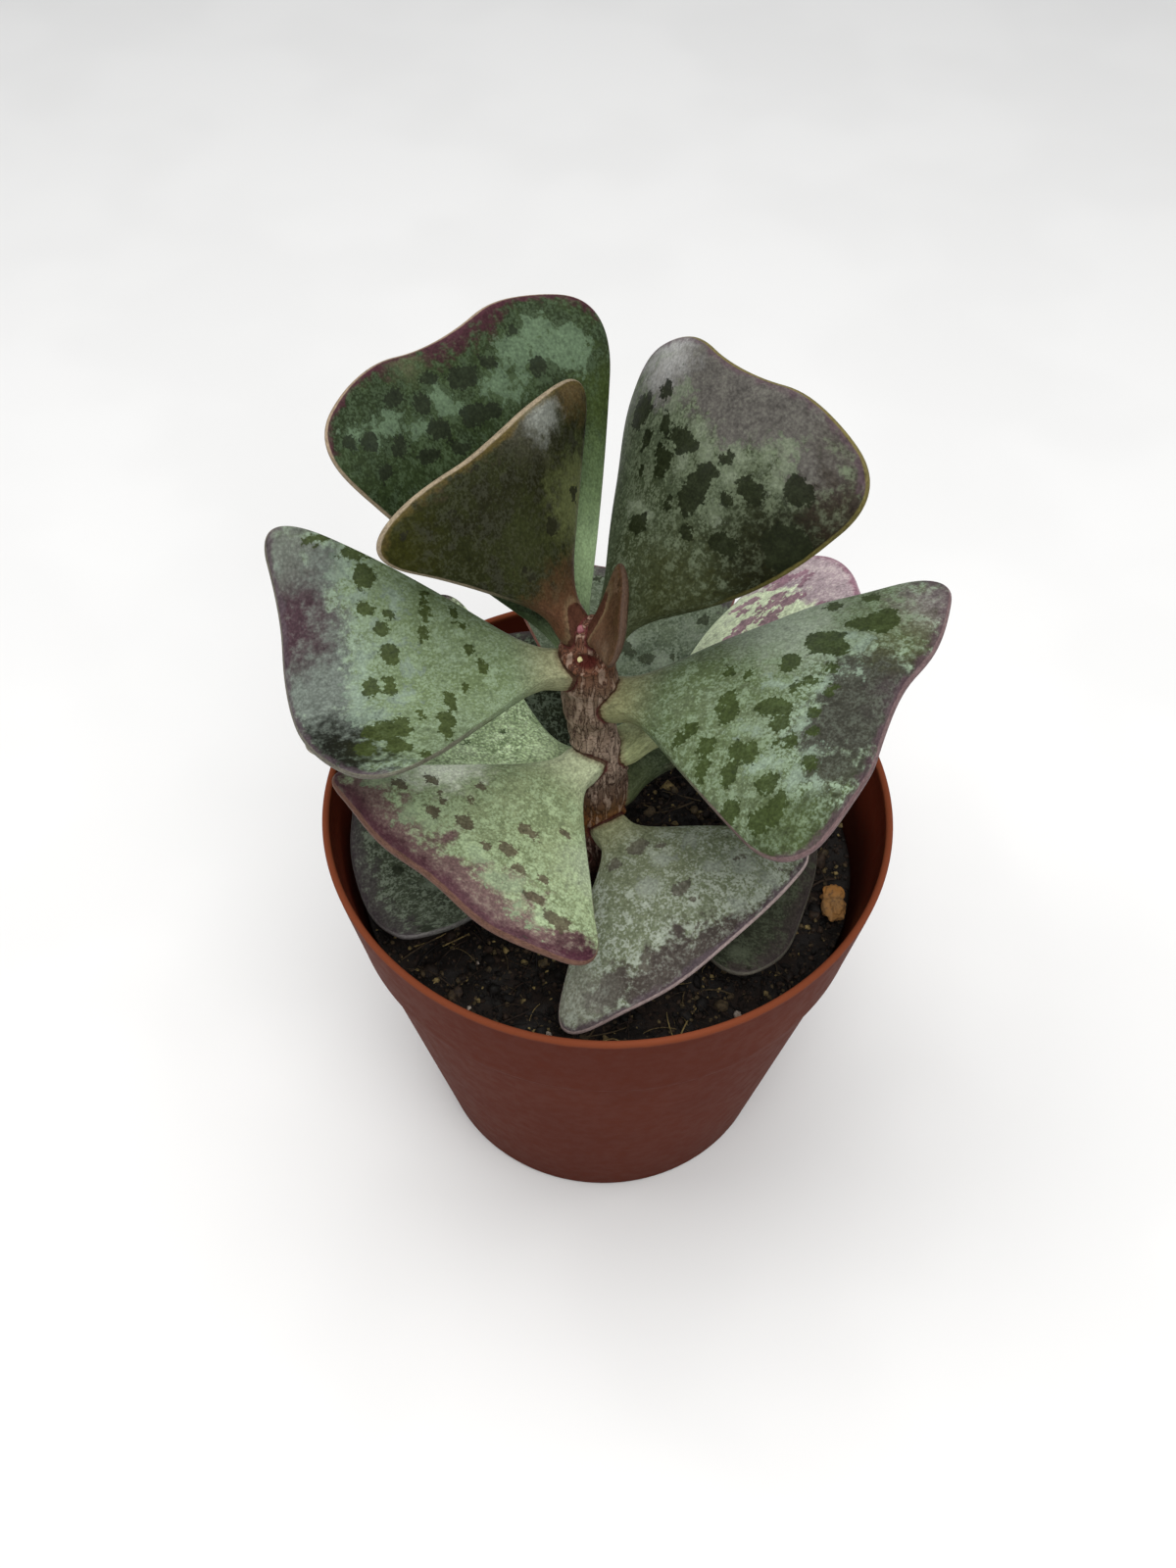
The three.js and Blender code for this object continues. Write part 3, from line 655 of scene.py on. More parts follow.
class CALICO_OT_pot(bpy.types.Operator):
    """Turn the thin moulded pot, with its collar, rim and drain holes"""
    bl_idname = "calico.pot"
    bl_label = "Pot"

    def execute(self, context):
        settings = context.scene.calico_pot
        profile = [(0.0, 0.35), (9.0, 0.35), (19.4, 0.3), (20.4, 0.0)]

        def bend(r, z, wide, high, start, step, count):
            """Points round a bend about a centre, from an angle on in steps."""
            for k in range(count):
                a = math.radians(start + step * k)
                profile.append((r + wide * math.cos(a), z + high * math.sin(a)))

        def wall(start, end, steps):
            """Rings between two places up a straight wall, which keep its shading even."""
            for k in range(1, steps):
                profile.append(tuple(a + k / steps * (b - a) for a, b in zip(start, end)))

        bend(BASE_RADIUS - 1.05, 1.0, 1.0, 1.0, -90, 15, 7)
        wall((BASE_RADIUS, 1.2), (WALL_AT_COLLAR - 0.12, COLLAR_BOTTOM - 0.5), 20)
        # The step under the collar, with its small hollow and rounded edge
        profile += [(WALL_AT_COLLAR - 0.10, COLLAR_BOTTOM - 0.45),
                    (WALL_AT_COLLAR - 0.04, COLLAR_BOTTOM - 0.2),
                    (WALL_AT_COLLAR + 0.12, COLLAR_BOTTOM - 0.06),
                    (COLLAR_RADIUS - 0.22, COLLAR_BOTTOM),
                    (COLLAR_RADIUS - 0.04, COLLAR_BOTTOM + 0.16),
                    (COLLAR_RADIUS + 0.03, COLLAR_BOTTOM + 0.4)]
        wall((COLLAR_RADIUS, COLLAR_BOTTOM + 0.4), (RIM_RADIUS - 0.08, POT_TOP - 1), 12)
        # The rim's rounded lip
        bend((RIM_RADIUS + MOUTH_RADIUS) / 2, POT_TOP - 0.45,
             (RIM_RADIUS - MOUTH_RADIUS) / 2 - 0.01, 0.45, -18, 21.6, 11)
        high, low = POT_TOP - 1, FLOOR_THICKNESS + 0.8
        wall((pot_inside(high), high), (pot_inside(low), low), 22)
        corner = pot_inside(FLOOR_THICKNESS)
        profile += [(corner - 0.25, FLOOR_THICKNESS + 0.25), (corner - 0.8, FLOOR_THICKNESS),
                    (12.0, FLOOR_THICKNESS), (0.0, FLOOR_THICKNESS)]
        sides = settings.sides
        points = [(r * c, r * s, z) for r, z in profile[1:-1] for c, s in circle(sides)]
        faces = rings_to_faces(len(profile) - 2, sides)
        close_pole(points, faces, 0, sides, (0.0, 0.0, profile[0][1]), True)
        close_pole(points, faces, (len(profile) - 3) * sides, sides, (0.0, 0.0, profile[-1][1]),
                   False)
        material = moulded_plastic(settings)
        piece = build("moulded_pot", points, faces, material)
        cutters = []
        hole = settings.drain_radius / MM
        for k in range(DRAIN_HOLES):
            a = (k + 0.5) / DRAIN_HOLES * 2 * math.pi
            x, y = DRAIN_CIRCLE * math.cos(a), DRAIN_CIRCLE * math.sin(a)
            bore = [(x + hole * c, y + hole * s, z) for z in (-2.0, 5.0)
                    for c, s in circle(DRAIN_SIDES)]
            low_end, high_end = range(DRAIN_SIDES), range(DRAIN_SIDES, 2 * DRAIN_SIDES)
            sheets = rings_to_faces(2, DRAIN_SIDES) + [tuple(reversed(low_end)), tuple(high_end)]
            cutter = build(f"drain_bore_{k}", bore, sheets, material)
            cut = piece.modifiers.new("drain", "BOOLEAN")
            cut.object = cutter
            cut.operation = "DIFFERENCE"
            cut.solver = "EXACT"
            cutters.append(cutter)
        context.view_layer.update()
        solid = bpy.data.meshes.new_from_object(
            piece.evaluated_get(context.evaluated_depsgraph_get()))
        piece.modifiers.clear()
        piece.data = solid
        for cutter in cutters:
            bpy.data.objects.remove(cutter)
        solid.polygons.foreach_set("use_smooth", [True] * len(solid.polygons))
        solid.set_sharp_from_angle(angle=math.radians(50))
        settle(piece, "pot", "pot")
        return {"FINISHED"}


# The soil, its crumbs and its fibres


def soil_height(x, y):
    far = math.hypot(x, y) / SOIL_RADIUS
    return (SOIL_LEVEL + SOIL_DOME * (1 - far * far)
            + SOIL_BUMPS * (math.sin(0.43 * x + 1.3) * math.cos(0.37 * y - 0.4)
                            + 0.6 * math.sin(0.81 * x - 0.66 * y)))


def soil_surface(x, y):
    """The soil's top with its clods, sunk by about as much as they stand up."""
    clod = abs(rough(x, y, 3.0, 0.42)) * 1.1 + abs(rough(x, y, 9.0, 1.1)) * 0.5
    return soil_height(x, y) - SOIL_SINK + clod


def moist_peat(settings, name, by_crumb):
    """Moist peat compost: nearly black, matt, with brown fibres and a few dry golden bits."""
    material, tree = new_material(name)
    field = noises(tree, in_millimetres(tree), (
        ("clod", 0.25, 3.0), ("crumb", 1.6, 5.0), ("grain", 6.0, 3.0)))
    if by_crumb:
        tone = add(tree, "ShaderNodeAttribute", attribute_name="tone").outputs["Fac"]
        by_tone = add(tree, "ShaderNodeValToRGB", {"Fac": tone}, stops=[
            (0.0, "#0f0b09"), (0.4, settings.dark), (0.6, "#33241a"), (0.78, settings.brown),
            (0.92, "#62543a"), (0.98, settings.golden)]).outputs["Color"]
        colour = layered(tree, by_tone, [
            (between(tree, field["crumb"], 0.6, 0.35, 0.6), "#0b0807")])
    else:
        colour = layered(tree, settings.dark, [
            (between(tree, field["clod"], 0.45, 0.65, 0.6), "#241811"),
            (between(tree, field["crumb"], 0.58, 0.7, 0.6), "#3a281d"),
            (between(tree, field["grain"], 0.68, 0.76, 0.5), settings.golden)])
    return finished(material, {
        "Base Color": colour, "Roughness": between(tree, field["clod"], 0.4, 0.7, 0.25, 0.65),
        "IOR": 1.4}, (0.8, 0.25, field["crumb"]))


class CALICO_OT_soil(bpy.types.Operator):
    """Fill the pot with moist peat up to its uneven top"""
    bl_idname = "calico.soil"
    bl_label = "Soil"

    def execute(self, context):
        settings = context.scene.calico_soil
        sides, rings = 150, 62
        outer = pot_inside(SOIL_LEVEL) - SOIL_CLEARANCE
        points = []
        for k in range(rings, 0, -1):
            for c, s in circle(sides):
                x, y = outer * k / rings * c, outer * k / rings * s
                points.append((x, y, soil_surface(x, y)))
        faces = rings_to_faces(rings, sides)
        close_pole(points, faces, (rings - 1) * sides, sides, (0, 0, soil_surface(0, 0)), False)
        # Down the wall to the pot's floor
        first = len(points)
        for z in (40.0, 20.0, SOIL_FOOT):
            r = pot_inside(z) - SOIL_CLEARANCE
            points += [(r * c, r * s, z) for c, s in circle(sides)]
        faces += [(i, first + i, first + (i + 1) % sides, (i + 1) % sides) for i in range(sides)]
        faces += [tuple(reversed(f)) for f in rings_to_faces(3, sides, first)]
        close_pole(points, faces, first + 2 * sides, sides, (0, 0, SOIL_FOOT), True)
        material = moist_peat(settings, "moist_peat_compost", False)
        piece = build("peat_bed", points, faces, material)
        settle(piece, "soil", "soil")
        return {"FINISHED"}


def scatter(name, bed, tree, values, material):
    """A plain mesh of what the tree strews over a bed, and the bed removed."""
    modifier = bed.modifiers.new(name, "NODES")
    modifier.node_group = tree
    for item in tree.interface.items_tree:
        if item.item_type == "SOCKET" and item.in_out == "INPUT" and item.name in values:
            modifier[item.identifier] = values[item.name]
    bpy.context.view_layer.update()
    mesh = bpy.data.meshes.new_from_object(
        bed.evaluated_get(bpy.context.evaluated_depsgraph_get()))
    bpy.data.objects.remove(bed)
    if not mesh.polygons:
        raise RuntimeError(f"{name}: nothing was strewn")
    mesh.materials.clear()
    mesh.materials.append(material)
    mesh.polygons.foreach_set("use_smooth", [True] * len(mesh.polygons))
    piece = bpy.data.objects.new(name, mesh)
    bpy.context.scene.collection.objects.link(piece)
    return piece


def new_tree(name, sockets):
    tree = bpy.data.node_groups.new(name, "GeometryNodeTree")
    tree.interface.new_socket("Geometry", in_out="INPUT", socket_type="NodeSocketGeometry")
    for key, kind, value in sockets:
        made = tree.interface.new_socket(key, in_out="INPUT", socket_type=kind)
        if value is not None:
            made.default_value = value
    tree.interface.new_socket("Geometry", in_out="OUTPUT", socket_type="NodeSocketGeometry")
    return tree


def strewing_tree(name, shapes):
    """A tree that strews one of some shapes on each random point, turned and sized at random."""
    tree = new_tree(name, [
        ("Density", "NodeSocketFloat", 1.0), ("Smallest", "NodeSocketFloat", 0.3),
        ("Largest", "NodeSocketFloat", 1.0), ("Tilt", "NodeSocketFloat", 3.2),
        ("Seed", "NodeSocketInt", 1), ("Material", "NodeSocketMaterial", None)])
    given = add(tree, "NodeGroupInput").outputs
    spread = add(tree, "GeometryNodeDistributePointsOnFaces", {
        "Mesh": given["Geometry"], "Density": given["Density"], "Seed": given["Seed"]},
        distribute_method="RANDOM")
    chance = add(tree, "FunctionNodeRandomValue", {
        2: 0.0, 3: 1.0, "Seed": 11}, data_type="FLOAT").outputs[1]
    points = add(tree, "GeometryNodeStoreNamedAttribute", {
        "Geometry": spread.outputs["Points"], "Name": "tone", "Value": chance},
        data_type="FLOAT", domain="POINT").outputs[0]
    # Small ones are common and large ones rare
    draw = add(tree, "FunctionNodeRandomValue", {2: 0.0, 3: 1.0, "Seed": 23},
               data_type="FLOAT").outputs[1]
    rarer = add(tree, "ShaderNodeMath", {0: draw, 1: 2.2}, operation="POWER").outputs[0]
    size = add(tree, "ShaderNodeMapRange", {
        "Value": rarer, "To Min": given["Smallest"], "To Max": given["Largest"]}).outputs[0]
    stretch = add(tree, "FunctionNodeRandomValue", {
        0: (0.7, 0.7, 0.5), 1: (1.35, 1.1, 0.95), "Seed": 37}, data_type="FLOAT_VECTOR").outputs[0]
    scale = add(tree, "ShaderNodeVectorMath", {0: stretch, "Scale": size},
                operation="SCALE").outputs[0]
    lean = add(tree, "ShaderNodeCombineXYZ", {
        0: given["Tilt"], 1: given["Tilt"], 2: 3.1416}).outputs[0]
    back = add(tree, "ShaderNodeVectorMath", {0: lean, 1: (-1, -1, -1)},
               operation="MULTIPLY").outputs[0]
    turn = add(tree, "FunctionNodeRandomValue", {0: back, 1: lean, "Seed": 41},
               data_type="FLOAT_VECTOR").outputs[0]
    kinds = add(tree, "GeometryNodeGeometryToInstance")
    for shape in shapes(tree):
        tree.links.new(shape, kinds.inputs[0])
    which = add(tree, "FunctionNodeRandomValue", {4: 0, 5: 4, "Seed": 53},
                data_type="INT").outputs[2]
    placed = add(tree, "GeometryNodeInstanceOnPoints", {
        "Points": points, "Instance": kinds.outputs[0], "Pick Instance": True,
        "Instance Index": which, "Rotation": turn, "Scale": scale}).outputs[0]
    real = add(tree, "GeometryNodeRealizeInstances", {0: placed}).outputs[0]
    dressed = add(tree, "GeometryNodeSetMaterial", {
        "Geometry": real, "Material": given["Material"]}).outputs[0]
    add(tree, "NodeGroupOutput", {0: dressed})
    return tree


def crumb_shapes(tree, subdivisions):
    """Five angular lumps of unit radius, of 20 or 80 faces each."""
    for k in range(5):
        ball = add(tree, "GeometryNodeMeshIcoSphere", {
            "Radius": 1.0, "Subdivisions": subdivisions})
        lump = add(tree, "ShaderNodeTexNoise", {
            "W": 3.7 * k, "Scale": 1.3, "Detail": 2.0}, noise_dimensions="4D").outputs["Color"]
        push = add(tree, "ShaderNodeVectorMath", {0: lump, 1: (0.5, 0.5, 0.5)},
                   operation="SUBTRACT").outputs[0]
        offset = add(tree, "ShaderNodeVectorMath", {0: push, "Scale": 1.7},
                     operation="SCALE").outputs[0]
        yield add(tree, "GeometryNodeSetPosition", {
            "Geometry": ball.outputs["Mesh"], "Offset": offset}).outputs[0]


def fibre_shapes(tree):
    """Five bent strands of unit length, four-sided and thin."""
    for k, (bow, lift) in enumerate(((0.22, 0.10), (-0.3, 0.16), (0.1, 0.2), (-0.12, 0.06),
                                     (0.38, 0.12))):
        line = add(tree, "GeometryNodeCurveQuadraticBezier", {
            "Resolution": 10, "Start": (-0.5, 0, -0.02), "Middle": (0.02 * k, bow, lift * 2),
            "End": (0.5, 0.1 * bow, -0.02)}).outputs[0]
        ring = add(tree, "GeometryNodeCurvePrimitiveCircle", {
            "Resolution": 4, "Radius": 0.012 + 0.004 * k}).outputs[0]
        yield add(tree, "GeometryNodeCurveToMesh", {
            "Curve": line, "Profile Curve": ring, "Fill Caps": True}).outputs[0]


def bed_disc(name, low, high, lift):
    """A coarse patch of the soil's top between two radii, clear of the stem."""
    sides, rings = 72, 24
    points = []
    for k in range(rings + 1):
        r = low + (high - low) * k / rings
        points += [(r * c, r * s, soil_surface(r * c, r * s) + lift) for c, s in circle(sides)]
    faces = []
    for face in rings_to_faces(rings + 1, sides):
        x, y = np.mean([points[i] for i in face], axis=0)[:2]
        if math.hypot(x - STEM[0][1], y - STEM[0][2]) > STEM_CLEARANCE:
            faces.append(face)
    mesh = bpy.data.meshes.new(name)
    mesh.from_pydata((np.asarray(points) * MM).tolist(), [], faces)
    bed = bpy.data.objects.new(name, mesh)
    bpy.context.scene.collection.objects.link(bed)
    return bed


def pale_grit(name):
    """Perlite and quartz grit: off-white, chalky, with grey hollows."""
    material, tree = new_material(name)
    field = noises(tree, in_millimetres(tree), (("pit", 2.2, 4.0), ("stain", 0.7, 2.0)))
    colour = layered(tree, "#b9aca0", [
        (between(tree, field["pit"], 0.55, 0.35, 0.8), "#6e6058"),
        (between(tree, field["stain"], 0.5, 0.7, 0.6), "#8c6f55")])
    return finished(material, {"Base Color": colour, "Roughness": 0.85},
                    (0.7, 0.1, field["pit"]))


class CALICO_OT_crumbs(bpy.types.Operator):
    """Strew crumbs, fibres and a little grit over the soil"""
    bl_idname = "calico.crumbs"
    bl_label = "Crumbs, fibres and grit"

    def execute(self, context):
        settings = context.scene.calico_soil
        crumb_matter = moist_peat(settings, "peat_crumbs", True)
        grit_matter = pale_grit("perlite_grit")
        specks = strewing_tree("strewn_specks", lambda tree: crumb_shapes(tree, 1))
        lumps = strewing_tree("strewn_crumbs", lambda tree: crumb_shapes(tree, 2))
        strands = strewing_tree("strewn_fibres", fibre_shapes)
        outer = pot_inside(SOIL_LEVEL) - 2.2
        per_square = 1 / MM ** 2
        largest = settings.crumb_size
        # Each is strewn between two radii, a little above the soil
        for name, tree, low, high, lift, values, matter in (
            ("peat_crumbs_fine", specks, 1.0, outer + 1.5, 0.05,
             dict(Density=settings.crumbs * per_square, Smallest=0.18 * largest,
                  Largest=0.42 * largest, Seed=4), crumb_matter),
            ("peat_crumbs_coarse", lumps, 1.0, outer, 0.1,
             dict(Density=settings.crumbs * 0.08 * per_square, Smallest=0.4 * largest,
                  Largest=largest, Seed=9), crumb_matter),
            ("peat_fibres", strands, 1.0, outer - 1.0, 0.3,
             dict(Density=settings.fibres * per_square, Smallest=0.2 * settings.fibre_length,
                  Largest=settings.fibre_length, Tilt=0.35, Seed=2), crumb_matter),
            ("perlite_grit", lumps, 8.0, outer, 0.3,
             dict(Density=0.006 * per_square, Smallest=0.3 * MM, Largest=0.8 * MM, Seed=5),
             grit_matter),
        ):
            bed = bed_disc(name + "_bed", low, high, lift)
            piece = scatter(name, bed, tree, {**values, "Material": matter}, matter)
            settle(piece, "soil")
        return {"FINISHED"}


# The stem


def stem_at(z):
    return [float(np.interp(z, STEM[:, 0], STEM[:, k])) for k in (1, 2, 3)]


def stem_swelling(z):
    swelling = 0.0
    for leaf in LEAVES:
        d = (z - leaf["z"] + 1) / NODE_LENGTH
        swelling += NODE_SWELLING * math.exp(-d * d)
    return min(swelling, NODE_LIMIT * NODE_SWELLING) if NODES_FROM < z < NODES_TO else 0.0


def above_bark(x, y, z):
    """How far out of the stem a place is."""
    axis_x, axis_y, radius = stem_at(z)
    return math.hypot(x - axis_x, y - axis_y) - radius - stem_swelling(z)


# The scar pocket under the tip: its angle round the stem, its height, half width, half height
SCAR_ANGLE = math.radians(-93)
SCAR = (85.3, 2.0, 1.35)


def wrinkled_bark(settings):
    """Young succulent bark: taupe and matt, with fine cracks along it, rusty cork lower down,
    bark near the soil darker partly with age and partly as painted shade, a smooth red-brown tip,
    and a thin dark line of painted shade round each leaf stalk, in the crease where it meets the
    bark."""
    material, tree = new_material("wrinkled_succulent_bark")
    where = in_millimetres(tree)
    field = noises(tree, where, (("cloud", 0.3, 3.0), ("blotch", 1.1, 4.0), ("grain", 5.0, 3.0)))
    # The cracks run along the stem and the wrinkles round it
    cracks = noises(tree, in_millimetres(tree, (1.0, 1.0, 0.16)), (("crack", 1.7, 1.6),))["crack"]
    wrinkles = noises(tree, in_millimetres(tree, (0.5, 0.5, 1.6)), (("fold", 0.9, 2.0),))["fold"]
    height = add(tree, "ShaderNodeSeparateXYZ", {0: where}).outputs["Z"]
    seam, scar = [add(tree, "ShaderNodeAttribute", attribute_name=key).outputs["Fac"]
                  for key in ("seam", "scar")]
    low, high = 44.0, 90.0
    level = add(tree, "ShaderNodeMapRange", {
        "Value": weighted(tree, height, [(field["blotch"], 2.6), (field["cloud"], 2.0)]),
        "From Min": low, "From Max": high}).outputs[0]
    # Near the soil the bark grows darker, partly with age and partly as painted shade.
    by_height = add(tree, "ShaderNodeValToRGB", {"Fac": level}, stops=[
        ((z - low) / (high - low), shade) for z, shade in (
            (44, "#2e1c14"), (54.5, settings.old_bark_and_painted_shade), (56.5, settings.corky), (60, "#6a4a2c"),
            (62.5, "#584436"), (66, "#7a685a"), (71, "#8d7a6b"), (73, settings.bark),
            (80, "#6b5848"), (84, settings.tip), (88, "#664334"))]).outputs["Color"]
    # Ragged lines run where a noise crosses its middle
    line, fold = [add(tree, "ShaderNodeMath", {0: weighted(tree, 0.0, [(value, 1.0)])},
                      operation="ABSOLUTE").outputs[0] for value in (cracks, wrinkles)]
    colour = layered(tree, by_height, [
        (between(tree, cracks, 0.52, 0.66, 0.5), "#ab9787"),
        (between(tree, field["grain"], 0.5, 0.36, 0.35), "#4b3a32"),
        (between(tree, line, 0.03, 0.008, 0.8), "#35231d"),
        (between(tree, fold, 0.022, 0.004, 0.75), "#3a2418"),
        # A thin dark line round each stalk is painted shade, in the crease where it meets the
        # bark.
        (between(tree, weighted(tree, seam, [(field["blotch"], 0.3)]), 0.4, 0.16, 0.95),
         settings.seam),
        (between(tree, scar, 0.35, 0.8, 0.95), "#4b1812"),
    ])
    height_of_bumps = weighted(tree, between(tree, line, 0.0, 0.05), [(field["grain"], 0.5)])
    return finished(material, {
        "Base Color": colour, "Roughness": between(tree, field["blotch"], 0.35, 0.65, 0.2, 0.6),
        "IOR": 1.45, "Specular IOR Level": 0.2}, (0.8, 0.12, height_of_bumps))


def smooth_bud():
    """A bud's moist young skin: pink, a little glossy, paler at its point."""
    material, tree = new_material("moist_bud_skin")
    where = in_millimetres(tree)
    blush = noises(tree, where, (("blush", 1.5, 2.0),))["blush"]
    height = add(tree, "ShaderNodeSeparateXYZ", {0: where}).outputs["Z"]
    colour = layered(tree, "#7d4048", [
        (between(tree, blush, 0.4, 0.6, 0.7), "#a06a70"),
        (between(tree, height, 87.0, 86.0), "#d9cf9a")])
    return finished(material, {"Base Color": colour, "Roughness": 0.45, "IOR": 1.35})


class CALICO_OT_stem(bpy.types.Operator):
    """Grow the woody stem, with its nodes, cracks, tip and scar"""
    bl_idname = "calico.stem"
    bl_label = "Stem"

    def execute(self, context):
        settings = context.scene.calico_stem
        sides = settings.sides
        leaves = [bpy.data.objects.get(leaf["name"] + "_blade") for leaf in LEAVES]
        if None in leaves:
            raise RuntimeError("make the leaves first: the stem's seams follow their stalks")
        corners, sheets, start = [], [], 0
        for piece in leaves:
            mesh = piece.data
            corners += [v.co / MM for v in mesh.vertices if v.co.length < 1]
            sheets += [[start + i for i in face.vertices] for face in mesh.polygons]
            start += len(mesh.vertices)
        stalks = BVHTree.FromPolygons(corners, sheets)
        heights = [*np.arange(STEM_FOOT, STEM_NECK, 0.2), STEM_NECK]
        depth = settings.crack_depth / MM
        points, seams, scars = [], [], []

        def place(z, share):
            x, y, r = stem_at(min(z, STEM_NECK))
            swelling = stem_swelling(z)
            for i in range(sides):
                a = 2 * math.pi * i / sides
                ridge = 0.1 * math.sin(3 * a + 0.13 * z) if z > NODES_FROM else 0.0
                reach = (r + swelling + ridge) * share
                px, py = x + reach * math.cos(a), y + reach * math.sin(a)
                found = stalks.find_nearest(Vector((px, py, z)), SEAM_REACH)[3]
                seam = SEAM_REACH if found is None else found
                # Bark folds up round a stalk, and its cracks run along the stem
                crack = abs(noise.noise(Vector((px * 1.5, py * 1.5, z * 0.3))))
                fold = 0.16 * math.exp(-((seam - 0.7) / 0.35) ** 2)
                groove = -0.14 * math.exp(-(seam / 0.2) ** 2)
                knots = 0.16 * rough(px, py, z, 0.45) + 0.05 * rough(px, py, z, 2.0)
                # The scar is a pit with a raised lip, d being 1 at the pit's edge
                arc = (math.remainder(a - SCAR_ANGLE, 2 * math.pi)) * 2.5
                d = math.hypot(arc / SCAR[1], (z - SCAR[0]) / SCAR[2] * (1 + 0.15 * abs(arc)))
                pit = max(0.0, 1 - d * d)
                lip = 0.24 * math.exp(-((d - 1.15) / 0.22) ** 2)
                bark = (fold + groove + knots + depth * (min(crack * 7, 1) - 0.8)
                        - 0.7 * pit + lip - 0.12)
                reach += bark * min(1.0, share + 0.2)
                points.append((x + reach * math.cos(a), y + reach * math.sin(a), z))
                seams.append(seam)
                scars.append(max(0.0, 1 - d * d * 0.9))

        for z in heights:
            place(z, 1.0)
        # The tip rounds over
        caps = 7
        for k in range(1, caps):
            t = k / caps
            place(STEM_NECK + (STEM_TIP - STEM_NECK - 0.05) * math.sin(t * math.pi / 2),
                  1 - 0.9 * t ** 2)
        rings = len(heights) + caps - 1
        faces = rings_to_faces(rings, sides)
        for ring, z in ((0, STEM_FOOT), (rings - 1, STEM_TIP - 0.02)):
            x, y, _ = stem_at(min(z, STEM_NECK))
            close_pole(points, faces, ring * sides, sides, (x, y, z), ring == 0)
            seams.append(SEAM_REACH)
            scars.append(0.0)
        piece = build("barked_stem", points, faces, wrinkled_bark(settings),
                      {"seam": seams, "scar": scars})
        settle(piece, "stem", "stem")

        # The pale nub in the scar, and the pink bud at the tip
        matter = smooth_bud()
        x, y, r = stem_at(SCAR[0])
        for name, centre, size in (
            ("scar_nub", (x - 0.75, y - r + 0.55, SCAR[0]), (0.28, 0.3, 0.42)),
            ("tip_bud", (x - 0.7, y - 1.0, 88.9), (0.34, 0.34, 0.7)),
        ):
            skin, rows, columns = [], 13, 20
            for k in range(1, rows):
                b = math.pi * k / rows
                for i in range(columns):
                    a = 2 * math.pi * i / columns
                    fat = (1 + 0.25 * math.sin(3 * a + 2 * b)) * math.sin(b)
                    skin.append((centre[0] + size[0] * fat * math.cos(a),
                                 centre[1] + size[1] * fat * math.sin(a),
                                 centre[2] - size[2] * math.cos(b)))
            faces = rings_to_faces(rows - 1, columns)
            for ring, z in ((0, centre[2] - size[2]), (rows - 2, centre[2] + size[2])):
                close_pole(skin, faces, ring * columns, columns, (*centre[:2], z), ring == 0)
            settle(build(name, skin, faces, matter), "stem")
        return {"FINISHED"}


# The leaves


def outline_of(leaf):
    """The blade's outline as three lines: up the left flank, along the far edge, and up the right
    flank. Corners are cut back and rounded."""
    stalk_end, stalk = leaf.get("stalk_length", STALK_LENGTH), leaf["stalk"]

    def flank(corner, bulge, side):
        du, dw = corner[0] - stalk_end, corner[1] - stalk
        long = math.hypot(du, dw)
        return ((corner[0] + stalk_end) / 2 - dw / long * bulge,
                side * ((corner[1] + stalk) / 2 + du / long * bulge))

    (u_left, w_left), (u_right, w_right) = leaf["left"], leaf["right"]
    far = [leaf["length"] + more for more in leaf["far"]]
    reach = min(9, leaf["length"] / 3.5)
    corners = np.array([
        (STALK_START, stalk), (stalk_end, stalk), flank(leaf["left"], leaf["bulge"][0], 1),
        (u_left, w_left), (far[0], w_left / 2), (far[1], 0), (far[2], -w_right / 2),
        (u_right, -w_right), flank(leaf["right"], leaf["bulge"][1], -1),
        (stalk_end, -stalk), (STALK_START, -stalk)])
    cuts = [STALK_CUT, reach * 4 / 3, leaf["corner"][0], reach, reach, reach,
            leaf["corner"][1], reach * 4 / 3, STALK_CUT]
    steps = CORNER_STEPS
    t = np.linspace(0, 1, steps)[:, None]
    line = [corners[0]]
    for i, cut in enumerate(cuts, 1):
        before, after = corners[i - 1] - corners[i], corners[i + 1] - corners[i]
        a = min(cut, np.hypot(*before) / 2) / np.hypot(*before)
        b = min(cut, np.hypot(*after) / 2) / np.hypot(*after)
        line += list(corners[i] + (1 - t) ** 2 * a * before + t ** 2 * b * after)
    line.append(corners[-1])
    line = np.array(line)
    left_end = 1 + 2 * steps + steps // 2
    right_end = left_end + 4 * steps
    return line[:left_end + 1], line[left_end:right_end + 1], line[right_end:][::-1]


def along(line, fraction):
    """The points at these fractions of the way along a line."""
    run = np.r_[0, np.cumsum(np.hypot(*np.diff(line, axis=0).T))]
    return np.stack([np.interp(fraction * run[-1], run, line[:, k]) for k in (0, 1)], -1)


def distance_to(line, where):
    """How far each point is from a line."""
    best = np.full(where.shape[:-1], 1e9)
    for a, b in zip(line[:-1], line[1:]):
        step = b - a
        t = np.clip(((where - a) @ step) / max(step @ step, 1e-12), 0, 1)
        best = np.minimum(best, np.linalg.norm(where - a - t[..., None] * step, axis=-1))
    return best


def distance_to_spots(spots, where):
    """Signed distance to the nearest oval, below zero inside."""
    best = np.full(where.shape[:-1], 9.0)
    for u, w, long, wide in spots:
        off = where - (u, w)
        near = np.linalg.norm(off / (long, wide), axis=-1)
        steep = np.linalg.norm(off / (long ** 2, wide ** 2), axis=-1)
        best = np.minimum(best, near * (near - 1) / np.maximum(steep, 1e-6))
    return best


